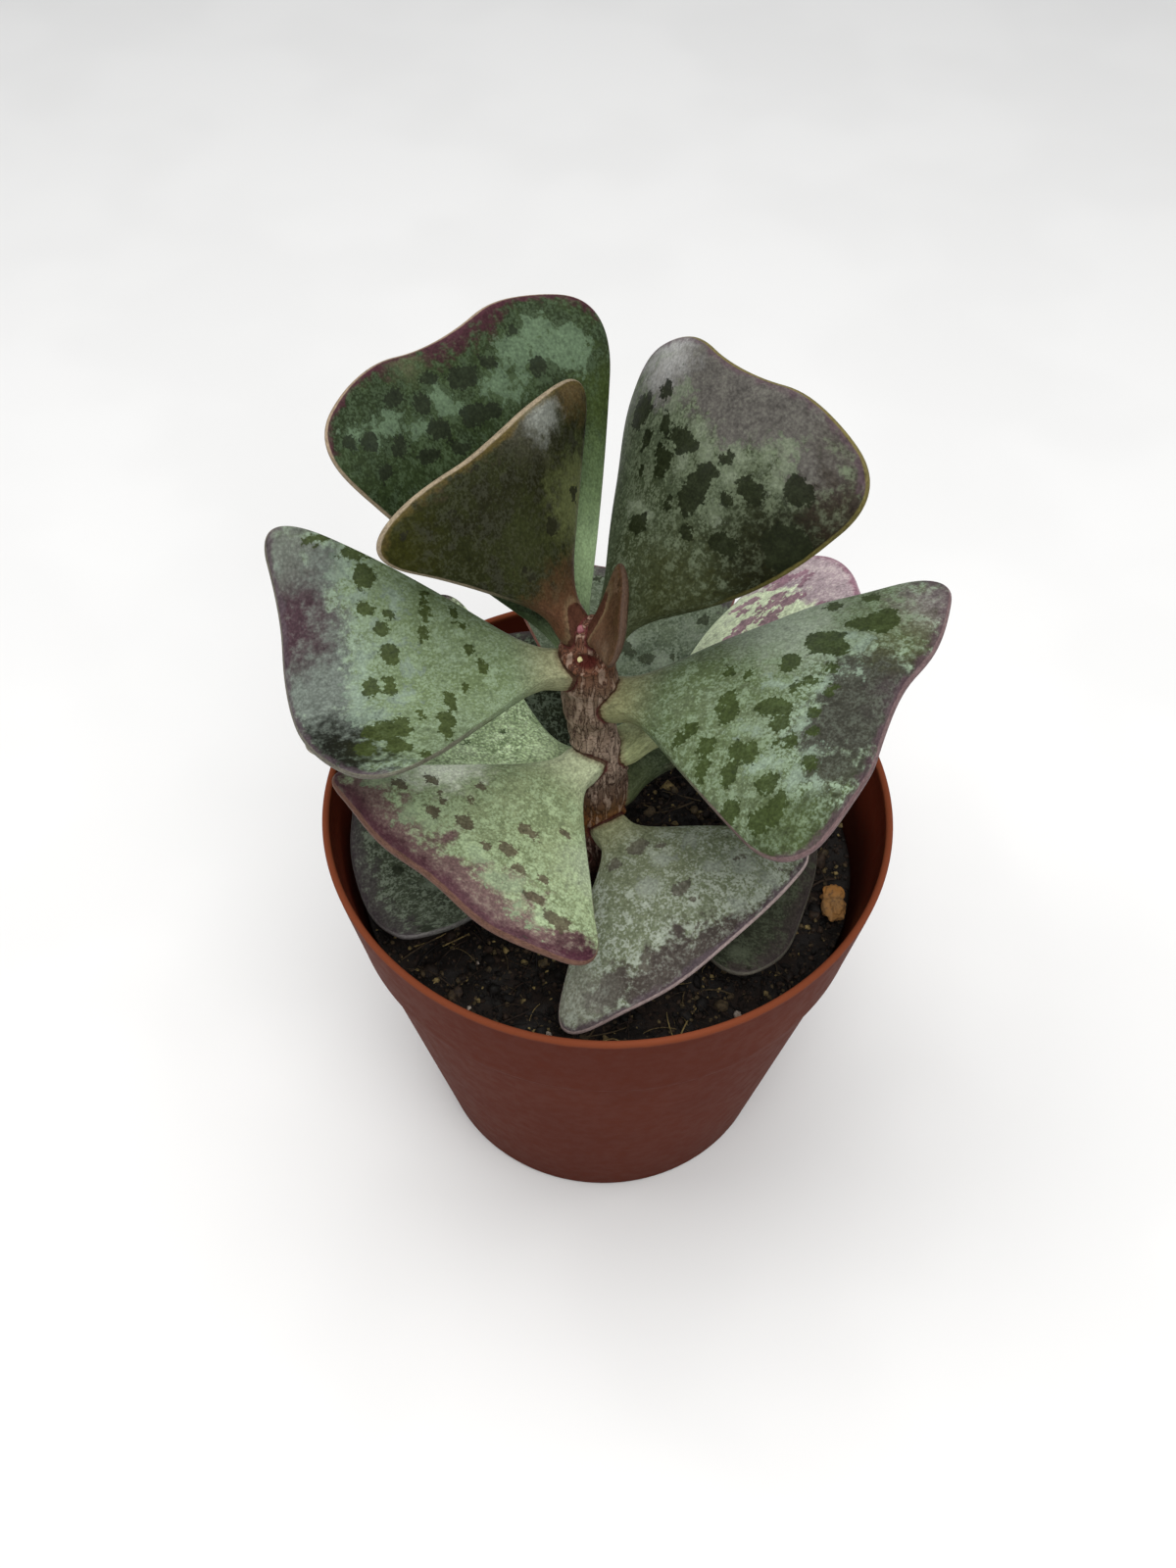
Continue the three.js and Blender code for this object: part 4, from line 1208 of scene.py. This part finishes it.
def blade_grid(leaf, columns, rows):
    """A grid of points on the blade between its flanks, its foot and its far edge. With it come
    how far to the side and onward each column and row is, as shares, and how far each point is
    from the outline and from the far edge."""
    left, far, right = outline_of(leaf)
    # Rows and columns crowd towards the margin, where the blade rounds over
    s = 0.5 - 0.5 * np.cos(np.pi * np.linspace(0, 1, columns + 1))
    t = np.sin(np.pi / 2 * np.linspace(0, 1, rows + 1))
    across, onward = s[None, :, None], t[:, None, None]
    rim_left, rim_right = along(left, t)[:, None], along(right, t)[:, None]
    foot = np.stack([0 * s + STALK_START, leaf["stalk"] * (2 * s - 1)], -1)[None]
    corners = ((1 - across) * ((1 - onward) * right[0] + onward * right[-1])
               + across * ((1 - onward) * left[0] + onward * left[-1]))
    uv = ((1 - across) * rim_right + across * rim_left + (1 - onward) * foot
          + onward * along(far, 1 - s)[None] - corners)
    outline = np.vstack([left, far[1:], right[::-1][1:]])
    return (uv, np.abs(2 * s - 1)[None, :], t[:, None], distance_to(outline, uv),
            distance_to(far, uv))


def blade_surface(leaf, uv, lift):
    """The place in space of points on the blade, at a lift off its middle surface."""
    start = stem_at(leaf["z"])
    steps = np.arange(0, leaf["length"] + 4 + 1e-9, MIDRIB_STEP)

    def heading(u):
        t = u / leaf["length"]
        rise = np.radians(leaf["rise"] + leaf["bend"] * t)
        turn = np.radians(leaf["az"] + leaf["sweep"] * t)
        flat = np.stack([-np.sin(turn), np.cos(turn), 0 * turn], -1)
        return np.stack([np.cos(rise) * np.cos(turn), np.cos(rise) * np.sin(turn),
                         np.sin(rise)], -1), flat

    path = np.cumsum(np.vstack([[(start[0], start[1], leaf["z"])],
                                heading(steps)[0][:-1] * MIDRIB_STEP]), axis=0)
    u, w = uv[..., 0], uv[..., 1]
    at = np.stack([np.interp(u, steps, path[:, k]) for k in range(3)], -1)
    onward, flat = heading(u)
    up = np.cross(onward, flat)
    roll = math.radians(leaf["roll"])
    side = flat * math.cos(roll) + up * math.sin(roll)
    normal = up * math.cos(roll) - flat * math.sin(roll)
    height = leaf["cup"] * w * w / CUP_AT + lift
    return at + side * w[..., None] + normal * height[..., None]


def random_spots(dice, leaf, many, low, high, smallest, largest, stretch=1.0):
    """Ovals strewn over a share of the blade's length."""
    spots = []
    for _ in range(many):
        u = leaf["length"] * dice.uniform(low, high)
        reach = leaf["stalk"] + (min(leaf["left"][1], leaf["right"][1]) - leaf["stalk"]) * min(
            1.0, u / leaf["left"][0])
        size = smallest + (largest - smallest) * dice.random() ** 1.6
        spots.append((u, dice.uniform(-0.9, 0.9) * reach, size * dice.uniform(0.7, 1.2) * stretch,
                      size * dice.uniform(0.7, 1.2)))
    return spots


# What each leaf looks like. Its colours are those of its base, the base's deeper mottling, the
# pale bloom, the spots, the wash, the narrow band behind the margin, the margin and the stalk.
# Reach is how far the wash comes in from the far edge where no oval of WASHES says more, and
# frost how much fine pale crystal shows. Halo is how much of it gathers before the wash, and
# furrow how bright the lines between the skin's cells are. Tints are soft discs under the
# patches and spots: (u, w, size, colour, share).
# A few pale tints are painted light, where it falls on a flank or near a tip.
PLAIN_LOOK = dict(halo=0.0, band_width=0.9, furrow=0.86, tints=[])
LOOKS = {
    "leaf_right": dict(
        colours="#5d694d #515e3e #859684 #323d1b #36342f #4d3c42 #735e5e #858460",
        reach=1.5, frost=0.25, halo=0.5,
        tints=[(35, 16, 5, "#716768", 0.8), (33, 10, 5.5, "#4f5336", 0.75),
               # The pale disc at (22, 9.5) is a painted highlight on the left flank.
               (31, -16, 6.5, "#3a4526", 0.85), (22, 9.5, 7, "#a9b6a3", 0.75),
               (35, 2, 3.5, "#473840", 0.6), (33, -9, 4, "#3c412c", 0.6)]),
    "leaf_left": dict(
        colours="#728262 #63724f #7f8f7f #38421d #5f6560 #50444a #696659 #8c8b6b",
        reach=1.0, frost=0.3, halo=0.6,
        tints=[(31, 11, 7, "#0e0f05", 0.97), (27.5, 11, 4, "#292c12", 0.92),
               (32.5, -7.5, 6.5, "#3c222d", 0.92), (31, -15, 4, "#63675f", 0.9),
               (20, 12, 5, "#5b674e", 0.6), (30, 1, 4, "#727a73", 0.6)]),
    "leaf_back_left": dict(
        colours="#2d3920 #222b19 #5b6e56 #21271a #3d2028 #472730 #988771 #8fa47c",
        reach=0.4, frost=0.15, band_width=0.8,
        tints=[(40.8, 6, 3.5, "#575e43", 0.7), (27, -15, 6, "#394520", 0.75),
               (14, -5, 8, "#839971", 0.9), (21, -9, 6, "#5f724d", 0.7)]),
    "leaf_back_right": dict(
        colours="#47503c #313825 #6f7864 #191e0d #54504d #524248 #6c6437 #50553a",
        reach=1.5, frost=0.25, halo=0.25,
        tints=[(21, -14, 9, "#131402", 0.97), (13, -4, 7, "#32351b", 0.8),
               # The pale grey disc at (33, 11) is a painted sheen along the left flank.
               (28, 13, 4, "#414437", 0.7), (33, 11, 5.5, "#b3b3b1", 0.7),
               (29, -15.5, 4.5, "#2c2119", 0.75), (34, -13, 4, "#47423b", 0.6),
               (22, -8, 4, "#2a2f1a", 0.6)]),
    "leaf_upper_left": dict(
        colours="#272a11 #1b1b0a #7a7d75 #232317 #46402f #524622 #928470 #5b3d2b",
        reach=0.2, frost=0.05,
        tints=[(23, 16, 6, "#292a06", 0.9), (15, 1, 6, "#363b20", 0.7),
               (14, -8, 6, "#666c44", 0.8), (17, -6, 3.2, "#5b6446", 0.7),
               (20, -10.5, 3, "#565f42", 0.6), (25, -14, 4, "#635134", 0.7),
               (25, -6, 5, "#49463d", 0.6), (4, 0, 7, "#593f2d", 0.95),
               # The pale disc at (24.5, -7.8) is a painted highlight near the tip.
               (24.5, -7.8, 3.6, "#a0a49c", 0.8), (22.4, 2.6, 2.4, "#6d7166", 0.7)]),
    "leaf_young": dict(
        colours="#402f1e #392819 #665240 #34281a #44341f #4c3527 #45362c #5b4130",
        reach=1.0, frost=0.1, band_width=0.3,
        tints=[(6, 3, 3, "#4f4b2c", 0.7)]),
    "leaf_front_left": dict(
        colours="#84906c #6f7b5a #94a584 #575040 #6b5052 #44212e #6b4f41 #b1b897",
        reach=1.0, frost=0.4, halo=0.55, band_width=2.0,
        # The near-white disc at (17, -11) is painted light on the right flank.
        tints=[(26.5, 17, 4, "#3d2229", 0.8), (17, -11, 6, "#f8ffed", 0.9),
               (16, 10, 5, "#9fab92", 0.6), (25, 7, 3, "#8a9868", 0.6),
               (24, -7, 3, "#889666", 0.6)]),
    "leaf_front_right": dict(
        colours="#6f7760 #646b54 #878e82 #56534a #3e3432 #52454c #b19f9b #8a8d6a",
        reach=0.8, frost=0.85, halo=0.2,
        tints=[(21, -15, 5, "#89887d", 0.6), (12, 0, 7, "#6b7158", 0.6)]),
    "leaf_low_left": dict(
        colours="#4c5344 #3c4236 #757e6f #31362a #4d4948 #443c40 #686564 #5d6450",
        reach=2.5, frost=0.7, halo=0.1,
        tints=[(24, -12, 6, "#3a4035", 0.5)]),
    "leaf_low_right": dict(
        colours="#3b3f31 #2c3025 #565c4b #26281c #403a36 #3c3434 #656258 #4f543f",
        reach=2.0, frost=0.35, band_width=0.8),
    "leaf_far_right": dict(
        colours="#d0ddb9 #b9c5a0 #ced8bb #95717f #aa949e #855a6c #a3858f #919669",
        reach=6.5, frost=0.5, band_width=1.0,
        tints=[(9, 0, 7, "#a1a577", 0.7)]),
    "leaf_far_left": dict(
        colours="#c5dcab #8ca276 #c5d8b0 #566845 #666058 #54444a #9c927e #94a47c",
        reach=2.0, frost=0.9, furrow=0.62),
    "leaf_back": dict(
        colours="#636f59 #495443 #7f8a78 #373e2c #55504f #6a3032 #8e5a50 #68745a",
        reach=3.0, frost=0.35, halo=0.1),
    "leaf_low_back_left": dict(
        colours="#353c2a #242a1c #6c7866 #262c1c #45403c #463638 #a09c78 #4b5238",
        reach=2.0, frost=0.5, halo=0.1, band_width=0.8),
    "leaf_low_back_right": dict(
        colours="#465139 #37412c #6d7862 #2f3724 #474240 #4d383c #8c8270 #4d5539",
        reach=2.0, frost=0.3, band_width=0.8),
}

# Seeded spots for the leaves that have no placed ones: how many, the shares of the length that
# they start and end at, the smallest and the largest, and how much longer than wide they are
STREWN = {
    "leaf_upper_left": (7, 0.4, 0.9, 0.4, 1.0),
    "leaf_young": (3, 0.35, 0.95, 0.3, 0.6),
    "leaf_front_right": (12, 0.35, 0.95, 0.4, 1.2),
    "leaf_low_left": (9, 0.35, 0.95, 0.4, 1.2),
    "leaf_low_right": (8, 0.35, 0.95, 0.4, 1.2),
    "leaf_far_right": (120, 0.56, 0.9, 0.35, 0.8, 2.0),
    "leaf_far_left": (8, 0.35, 0.95, 0.4, 1.0),
    "leaf_back": (18, 0.35, 0.95, 0.4, 1.3),
    "leaf_low_back_left": (14, 0.35, 0.95, 0.4, 1.3),
    "leaf_low_back_right": (8, 0.35, 0.95, 0.3, 0.9),
}
UNDERSIDE_SPOTS = (22, 0.4, 0.97, 0.4, 1.5)
UNDERSIDE_PATCHES = (9, 0.45, 0.9, 0.4, 1.4)
LEAF_SEED = 700
# The noises that make a leaf's markings ragged, in the order of their weights
RAGGED_BY = ("mottle", "ragged", "grain", "cloud")


def waxy_leaf(name, look, length, settings):
    """Fleshy leaf skin under a thin wax: soft gloss, fine pale crystals in a net of darker cells,
    ragged dark spots, a purple wash towards the far edge and a pale horny margin."""
    material, tree = new_material(name)
    base, deep, pale, spots, wash, band, margin, stalk = look["colours"].split()
    blade, edge, far, spot, patch, washing, root = [
        add(tree, "ShaderNodeAttribute", attribute_name=key).outputs[
            "Vector" if key == "blade" else "Fac"]
        for key in ("blade", "edge", "far", "spot", "patch", "wash", "root")]
    field = noises(tree, blade, (
        ("cloud", 0.16, 2.0), ("mottle", 0.55, 4.0), ("ragged", 1.2, 4.0), ("grain", 3.0, 2.0)))

    def torn(start, *weights):
        """start, made ragged by each noise's weight."""
        return weighted(tree, start, [
            (field[key], weight) for key, weight in zip(RAGGED_BY, weights) if weight])

    # Skin cells about a third of a millimetre across
    cells = add(tree, "ShaderNodeTexVoronoi", {"Vector": blade, "Scale": 2.8},
                feature="F1").outputs["Distance"]
    onward = add(tree, "ShaderNodeSeparateXYZ", {0: blade}).outputs["X"]
    washed = torn(washing, 7.0, 5.0, 0, 4.0)
    frosted = torn(field["grain"], 0.9, 0.7)
    patched = torn(patch, 4.5, 5.0, 2.0)
    spotted = torn(spot, 2.0, 1.5, 1.0)
    banded = torn(far, 2.4)
    rimmed = torn(edge, 0.2)
    halo = add(tree, "ShaderNodeMath", {
        0: between(tree, washed, 4.5, 0.6, look["halo"]),
        1: between(tree, torn(field["ragged"], 0, 0, 0.8), 0.42, 0.56)},
        operation="MULTIPLY").outputs[0]
    width, band_width = settings.margin / MM, look["band_width"]
    # The margin is horny only round the outer half of the blade
    horny = add(tree, "ShaderNodeMath", {
        0: between(tree, rimmed, width * 1.4, width * 0.6, 0.85),
        1: between(tree, onward, length * 0.3, length * 0.6)}, operation="MULTIPLY").outputs[0]
    layers = [
        (between(tree, torn(field["cloud"], 0.8), 0.4, 0.62, 0.85), deep),
        (between(tree, frosted, 0.46, 0.62, look["frost"]), pale),
        (halo, pale),
        (between(tree, washed, 0.8, -1.6, 0.92), wash),
    ]
    for u, w, size, shade, share in look["tints"]:
        off = add(tree, "ShaderNodeVectorMath", {0: blade, 1: (u, w, 0)},
                  operation="DISTANCE").outputs["Value"]
        layers.append((between(tree, torn(off, size * 1.4, size * 0.8),
                               size * 1.35, size * 0.4, share), shade))
    layers += [
        (between(tree, frosted, 0.5, 0.66, look["frost"] * 0.25), pale),
        (between(tree, patched, 0.6, -0.35, 0.85), pale),
        (between(tree, spotted, 0.1, -0.1, 0.9), spots),
        (between(tree, banded, band_width, band_width * 0.2, 0.8), band),
        (between(tree, onward, 10.5, 4.0, 0.85), stalk),
        (horny, margin),
        # Near the bark the stalk turns tan, and the thin dark line where it meets the bark is
        # painted shade.
        (between(tree, torn(root, 0, 0.8), 0.9, 0.2, 0.5), "#7a6a50"),
        (between(tree, torn(root, 0, 0.5), 0.2, 0.06, 0.85), "#42221b"),
    ]
    # Each cell is a little lighter than the furrow round it
    furrow = add(tree, "ShaderNodeMapRange", {
        "Value": cells, "From Min": 0.25, "From Max": 0.65,
        "To Min": 1.08, "To Max": look["furrow"]}).outputs[0]
    shaded = add(tree, "ShaderNodeVectorMath", {
        0: layered(tree, base, layers), "Scale": torn(furrow, 0.9, 0.9, 0.9, 0.5)},
        operation="SCALE").outputs[0]
    return finished(material, {
        "Base Color": shaded, "Roughness": between(tree, field["mottle"], 0.35, 0.65, 0.16, 0.44),
        "IOR": 1.4, "Specular IOR Level": 0.12}, (0.5, 0.06, field["grain"]))


class CALICO_OT_leaves(bpy.types.Operator):
    """Grow every leaf as a thick fan with a rounded margin"""
    bl_idname = "calico.leaves"
    bl_label = "Leaves"

    def execute(self, context):
        settings = context.scene.calico_leaves
        for number, leaf in enumerate(LEAVES):
            self.grow(leaf, number, settings)
        return {"FINISHED"}

    def grow(self, leaf, number, settings):
        columns, rows = settings.columns, settings.rows
        uv, off, t, edge, far_edge = blade_grid(leaf, columns, rows)
        body = (np.sqrt(np.maximum(0, 1 - off ** ACROSS_POWER))
                * np.sqrt(np.maximum(0, 1 - t ** ONWARD_POWER)))
        stalk_share = np.maximum(0, 1 - uv[..., 0] / (STALK_FADE * STALK_LENGTH))
        thick = leaf["thick"] + (STALK_ROUND * leaf["stalk"] - leaf["thick"]) * stalk_share ** 2
        margin = leaf.get("margin", MARGIN)
        half = margin / 2 + (thick - margin) / 2 * body
        round_over = np.clip(edge / (margin / 2), 0, 1)
        half = half * np.sqrt(1 - (1 - round_over) ** 2)
        half[0, [0, -1]] = 0
        # The stalk's foot flares where it grips the stem
        flare = 1 + FLARE * np.exp(-((uv[..., 0] - FLARE_AT) / FLARE_LENGTH) ** 2)
        uv[..., 1] *= flare
        half *= flare
        u, w = uv[..., 0], uv[..., 1]
        wave = (EDGE_WAVE * (u / leaf["length"]) ** 2
                * np.maximum(off ** 3, t ** 6)
                * np.sin(w * 0.42 + u * 0.31 + leaf["z"]))
        relief = settings.relief / MM
        dents = np.array([[rough(a, b, 7.0 * number, 0.16) + 0.3 * rough(a, b, 5.0 * number, 0.6)
                           for a, b in line] for line in uv])
        fade = np.clip(edge / 3, 0, 1) * np.clip(u / 8, 0, 1)
        lift_top = wave + half + relief * dents * fade
        lift_under = wave - half + relief * 0.7 * dents[:, ::-1] * fade
        shared = np.zeros_like(edge, bool)
        shared[:, [0, -1]] = True
        shared[-1] = True
        low, high = np.array(CAD_BOX) / MM
        fit = LEAF_FIT
        while True:
            top = blade_surface(leaf, uv * fit, lift_top)
            under = blade_surface(leaf, uv * fit, lift_under)[~shared]
            if all((side >= low).all() and (side <= high).all() for side in (top, under)):
                break
            fit -= LEAF_FIT_STEP
        count = (rows + 1) * (columns + 1)
        above = np.arange(count).reshape(rows + 1, columns + 1)
        below = above.copy()
        below[~shared] = count + np.arange(len(under))
        points = np.vstack([top.reshape(-1, 3), under])
        root = [above_bark(x, y, z) for x, y, z in points]
        faces = []
        for j in range(rows):
            for i in range(columns):
                faces.append((above[j, i], above[j, i + 1], above[j + 1, i + 1], above[j + 1, i]))
                faces.append((below[j, i], below[j + 1, i], below[j + 1, i + 1], below[j, i + 1]))
        for i in range(columns):
            faces.append((above[0, i + 1], above[0, i], below[0, i], below[0, i + 1]))
        faces = [tuple(int(v) for v in dict.fromkeys(face)) for face in faces]
        dice = random.Random(LEAF_SEED + number)
        name = leaf["name"]
        spots = SPOTS.get(name) or random_spots(dice, leaf, *STREWN[name])
        under_spots = random_spots(dice, leaf, *UNDERSIDE_SPOTS)
        under_patches = random_spots(dice, leaf, *UNDERSIDE_PATCHES)
        wash = np.minimum(distance_to_spots(WASHES.get(name, []), uv),
                          far_edge - LOOKS[name]["reach"])

        def both(upper, lower):
            return np.concatenate([upper.ravel(), lower[~shared]])

        blade = np.vstack([
            np.concatenate([uv, half[..., None] * 3], -1).reshape(-1, 3),
            np.concatenate([uv, -half[..., None] * 3], -1)[~shared]])
        attributes = {
            "blade": blade,
            "edge": both(edge, edge),
            "far": both(far_edge, far_edge),
            "spot": both(distance_to_spots(spots, uv), distance_to_spots(under_spots, uv)),
            "patch": both(distance_to_spots(PATCHES.get(name, under_patches), uv),
                          distance_to_spots(under_patches, uv)),
            "wash": both(wash, wash),
            "root": root,
        }
        look = {**PLAIN_LOOK, **LOOKS[name]}
        material = waxy_leaf("waxy_skin_of_" + name, look, leaf["length"], settings)
        piece = build(name + "_blade", points, faces, material, attributes)
        settle(piece, name, name)


# The pebble


# The pebble's lumps stand this much fuller than its plain solid
PEBBLE_FULLER = 1.16


def rough_pumice(name):
    """A scrap of tan pumice: rough, chalky, orange on top and greyer in its pits."""
    material, tree = new_material(name)
    where = in_millimetres(tree)
    field = noises(tree, where, (("stain", 0.5, 3.0), ("pit", 1.8, 5.0), ("grain", 7.0, 3.0)))
    depth = add(tree, "ShaderNodeSeparateXYZ", {0: where}).outputs["Y"]
    colour = layered(tree, "#977044", [
        (between(tree, field["stain"], 0.4, 0.6, 0.8), "#a97840"),
        (between(tree, depth, -7.6, -5.8, 0.7), "#b97c38"),
        (between(tree, field["pit"], 0.48, 0.3, 0.85), "#5d4632"),
        (between(tree, field["grain"], 0.6, 0.75, 0.4), "#cdb48c")])
    return finished(material, {"Base Color": colour, "Roughness": 0.88},
                    (0.8, 0.15, field["pit"]))


class CALICO_OT_pebble(bpy.types.Operator):
    """Shape the tan pebble that lies on the soil"""
    bl_idname = "calico.pebble"
    bl_label = "Pebble"

    def execute(self, context):
        low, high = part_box("pebble")
        centre, half = (low + high) / 2 / MM, (high - low) / 2 / MM * PEBBLE_FULLER
        centre.z += half.z * (1 - 1 / PEBBLE_FULLER)
        rows, columns = 44, 64
        points = []
        for k in range(1, rows):
            b = math.pi * k / rows
            for i in range(columns):
                a = 2 * math.pi * i / columns
                x, y, z = math.sin(b) * math.cos(a), math.sin(b) * math.sin(a), -math.cos(b)
                # Two lumps with a waist between them, and smaller lumps all over
                waist = 1 - 0.3 * math.exp(-((y - 0.15) / 0.16) ** 2)
                lumps = 0.9 + 0.22 * rough(x, y, z, 1.8) + 0.12 * rough(x, y, z, 5.0)
                points.append((centre.x + half.x * x * lumps * waist,
                               centre.y + half.y * y * (lumps + 0.04),
                               centre.z + half.z * z * lumps * waist))
        # The lumps come out a little small, so they're drawn out to the solid's own box
        reach = [max(abs(p[k] - centre[k]) for p in points) for k in range(3)]
        points = [tuple(centre[k] + (p[k] - centre[k]) * half[k] / reach[k] for k in range(3))
                  for p in points]
        faces = rings_to_faces(rows - 1, columns)
        for ring, z in ((0, centre.z - half.z), (rows - 2, centre.z + half.z)):
            close_pole(points, faces, ring * columns, columns, (centre.x, centre.y, z), ring == 0)
        piece = build("pumice_pebble", points, faces, rough_pumice("tan_pumice"))
        settle(piece, "pebble", "pebble")
        return {"FINISHED"}


# The panel


class CALICO_PT_panel(bpy.types.Panel):
    """What makes the potted plant, in order"""
    bl_label = "Potted calico hearts"
    bl_idname = "CALICO_PT_panel"
    bl_space_type = "VIEW_3D"
    bl_region_type = "UI"
    bl_category = "Calico hearts"

    def draw(self, context):
        for operator, group in STEPS:
            box = self.layout.box()
            box.operator(operator.bl_idname)
            settings = getattr(context.scene, group, None) if group else None
            for key in (settings.bl_rna.properties if settings else ()):
                if key.identifier not in ("rna_type", "name"):
                    box.prop(settings, key.identifier)


# The leaves come before the stem, whose seams follow their stalks
STEPS = (
    (CALICO_OT_stage, "calico_stage"),
    (CALICO_OT_pot, "calico_pot"),
    (CALICO_OT_soil, "calico_soil"),
    (CALICO_OT_crumbs, None),
    (CALICO_OT_leaves, "calico_leaves"),
    (CALICO_OT_stem, "calico_stem"),
    (CALICO_OT_pebble, None),
)
GROUPS = (
    ("calico_stage", StageSettings),
    ("calico_pot", PotSettings),
    ("calico_soil", SoilSettings),
    ("calico_leaves", LeafSettings),
    ("calico_stem", StemSettings),
)


def register():
    for name, group in GROUPS:
        bpy.utils.register_class(group)
        setattr(bpy.types.Scene, name, bpy.props.PointerProperty(type=group))
    for operator, _ in STEPS:
        bpy.utils.register_class(operator)
    bpy.utils.register_class(CALICO_PT_panel)


def unregister():
    bpy.utils.unregister_class(CALICO_PT_panel)
    for operator, _ in reversed(STEPS):
        bpy.utils.unregister_class(operator)
    for name, group in reversed(GROUPS):
        delattr(bpy.types.Scene, name)
        bpy.utils.unregister_class(group)


def main():
    register()
    for operator, _ in STEPS:
        family, name = operator.bl_idname.split(".")
        getattr(getattr(bpy.ops, family), name)()


if __name__ == "__main__":
    main()
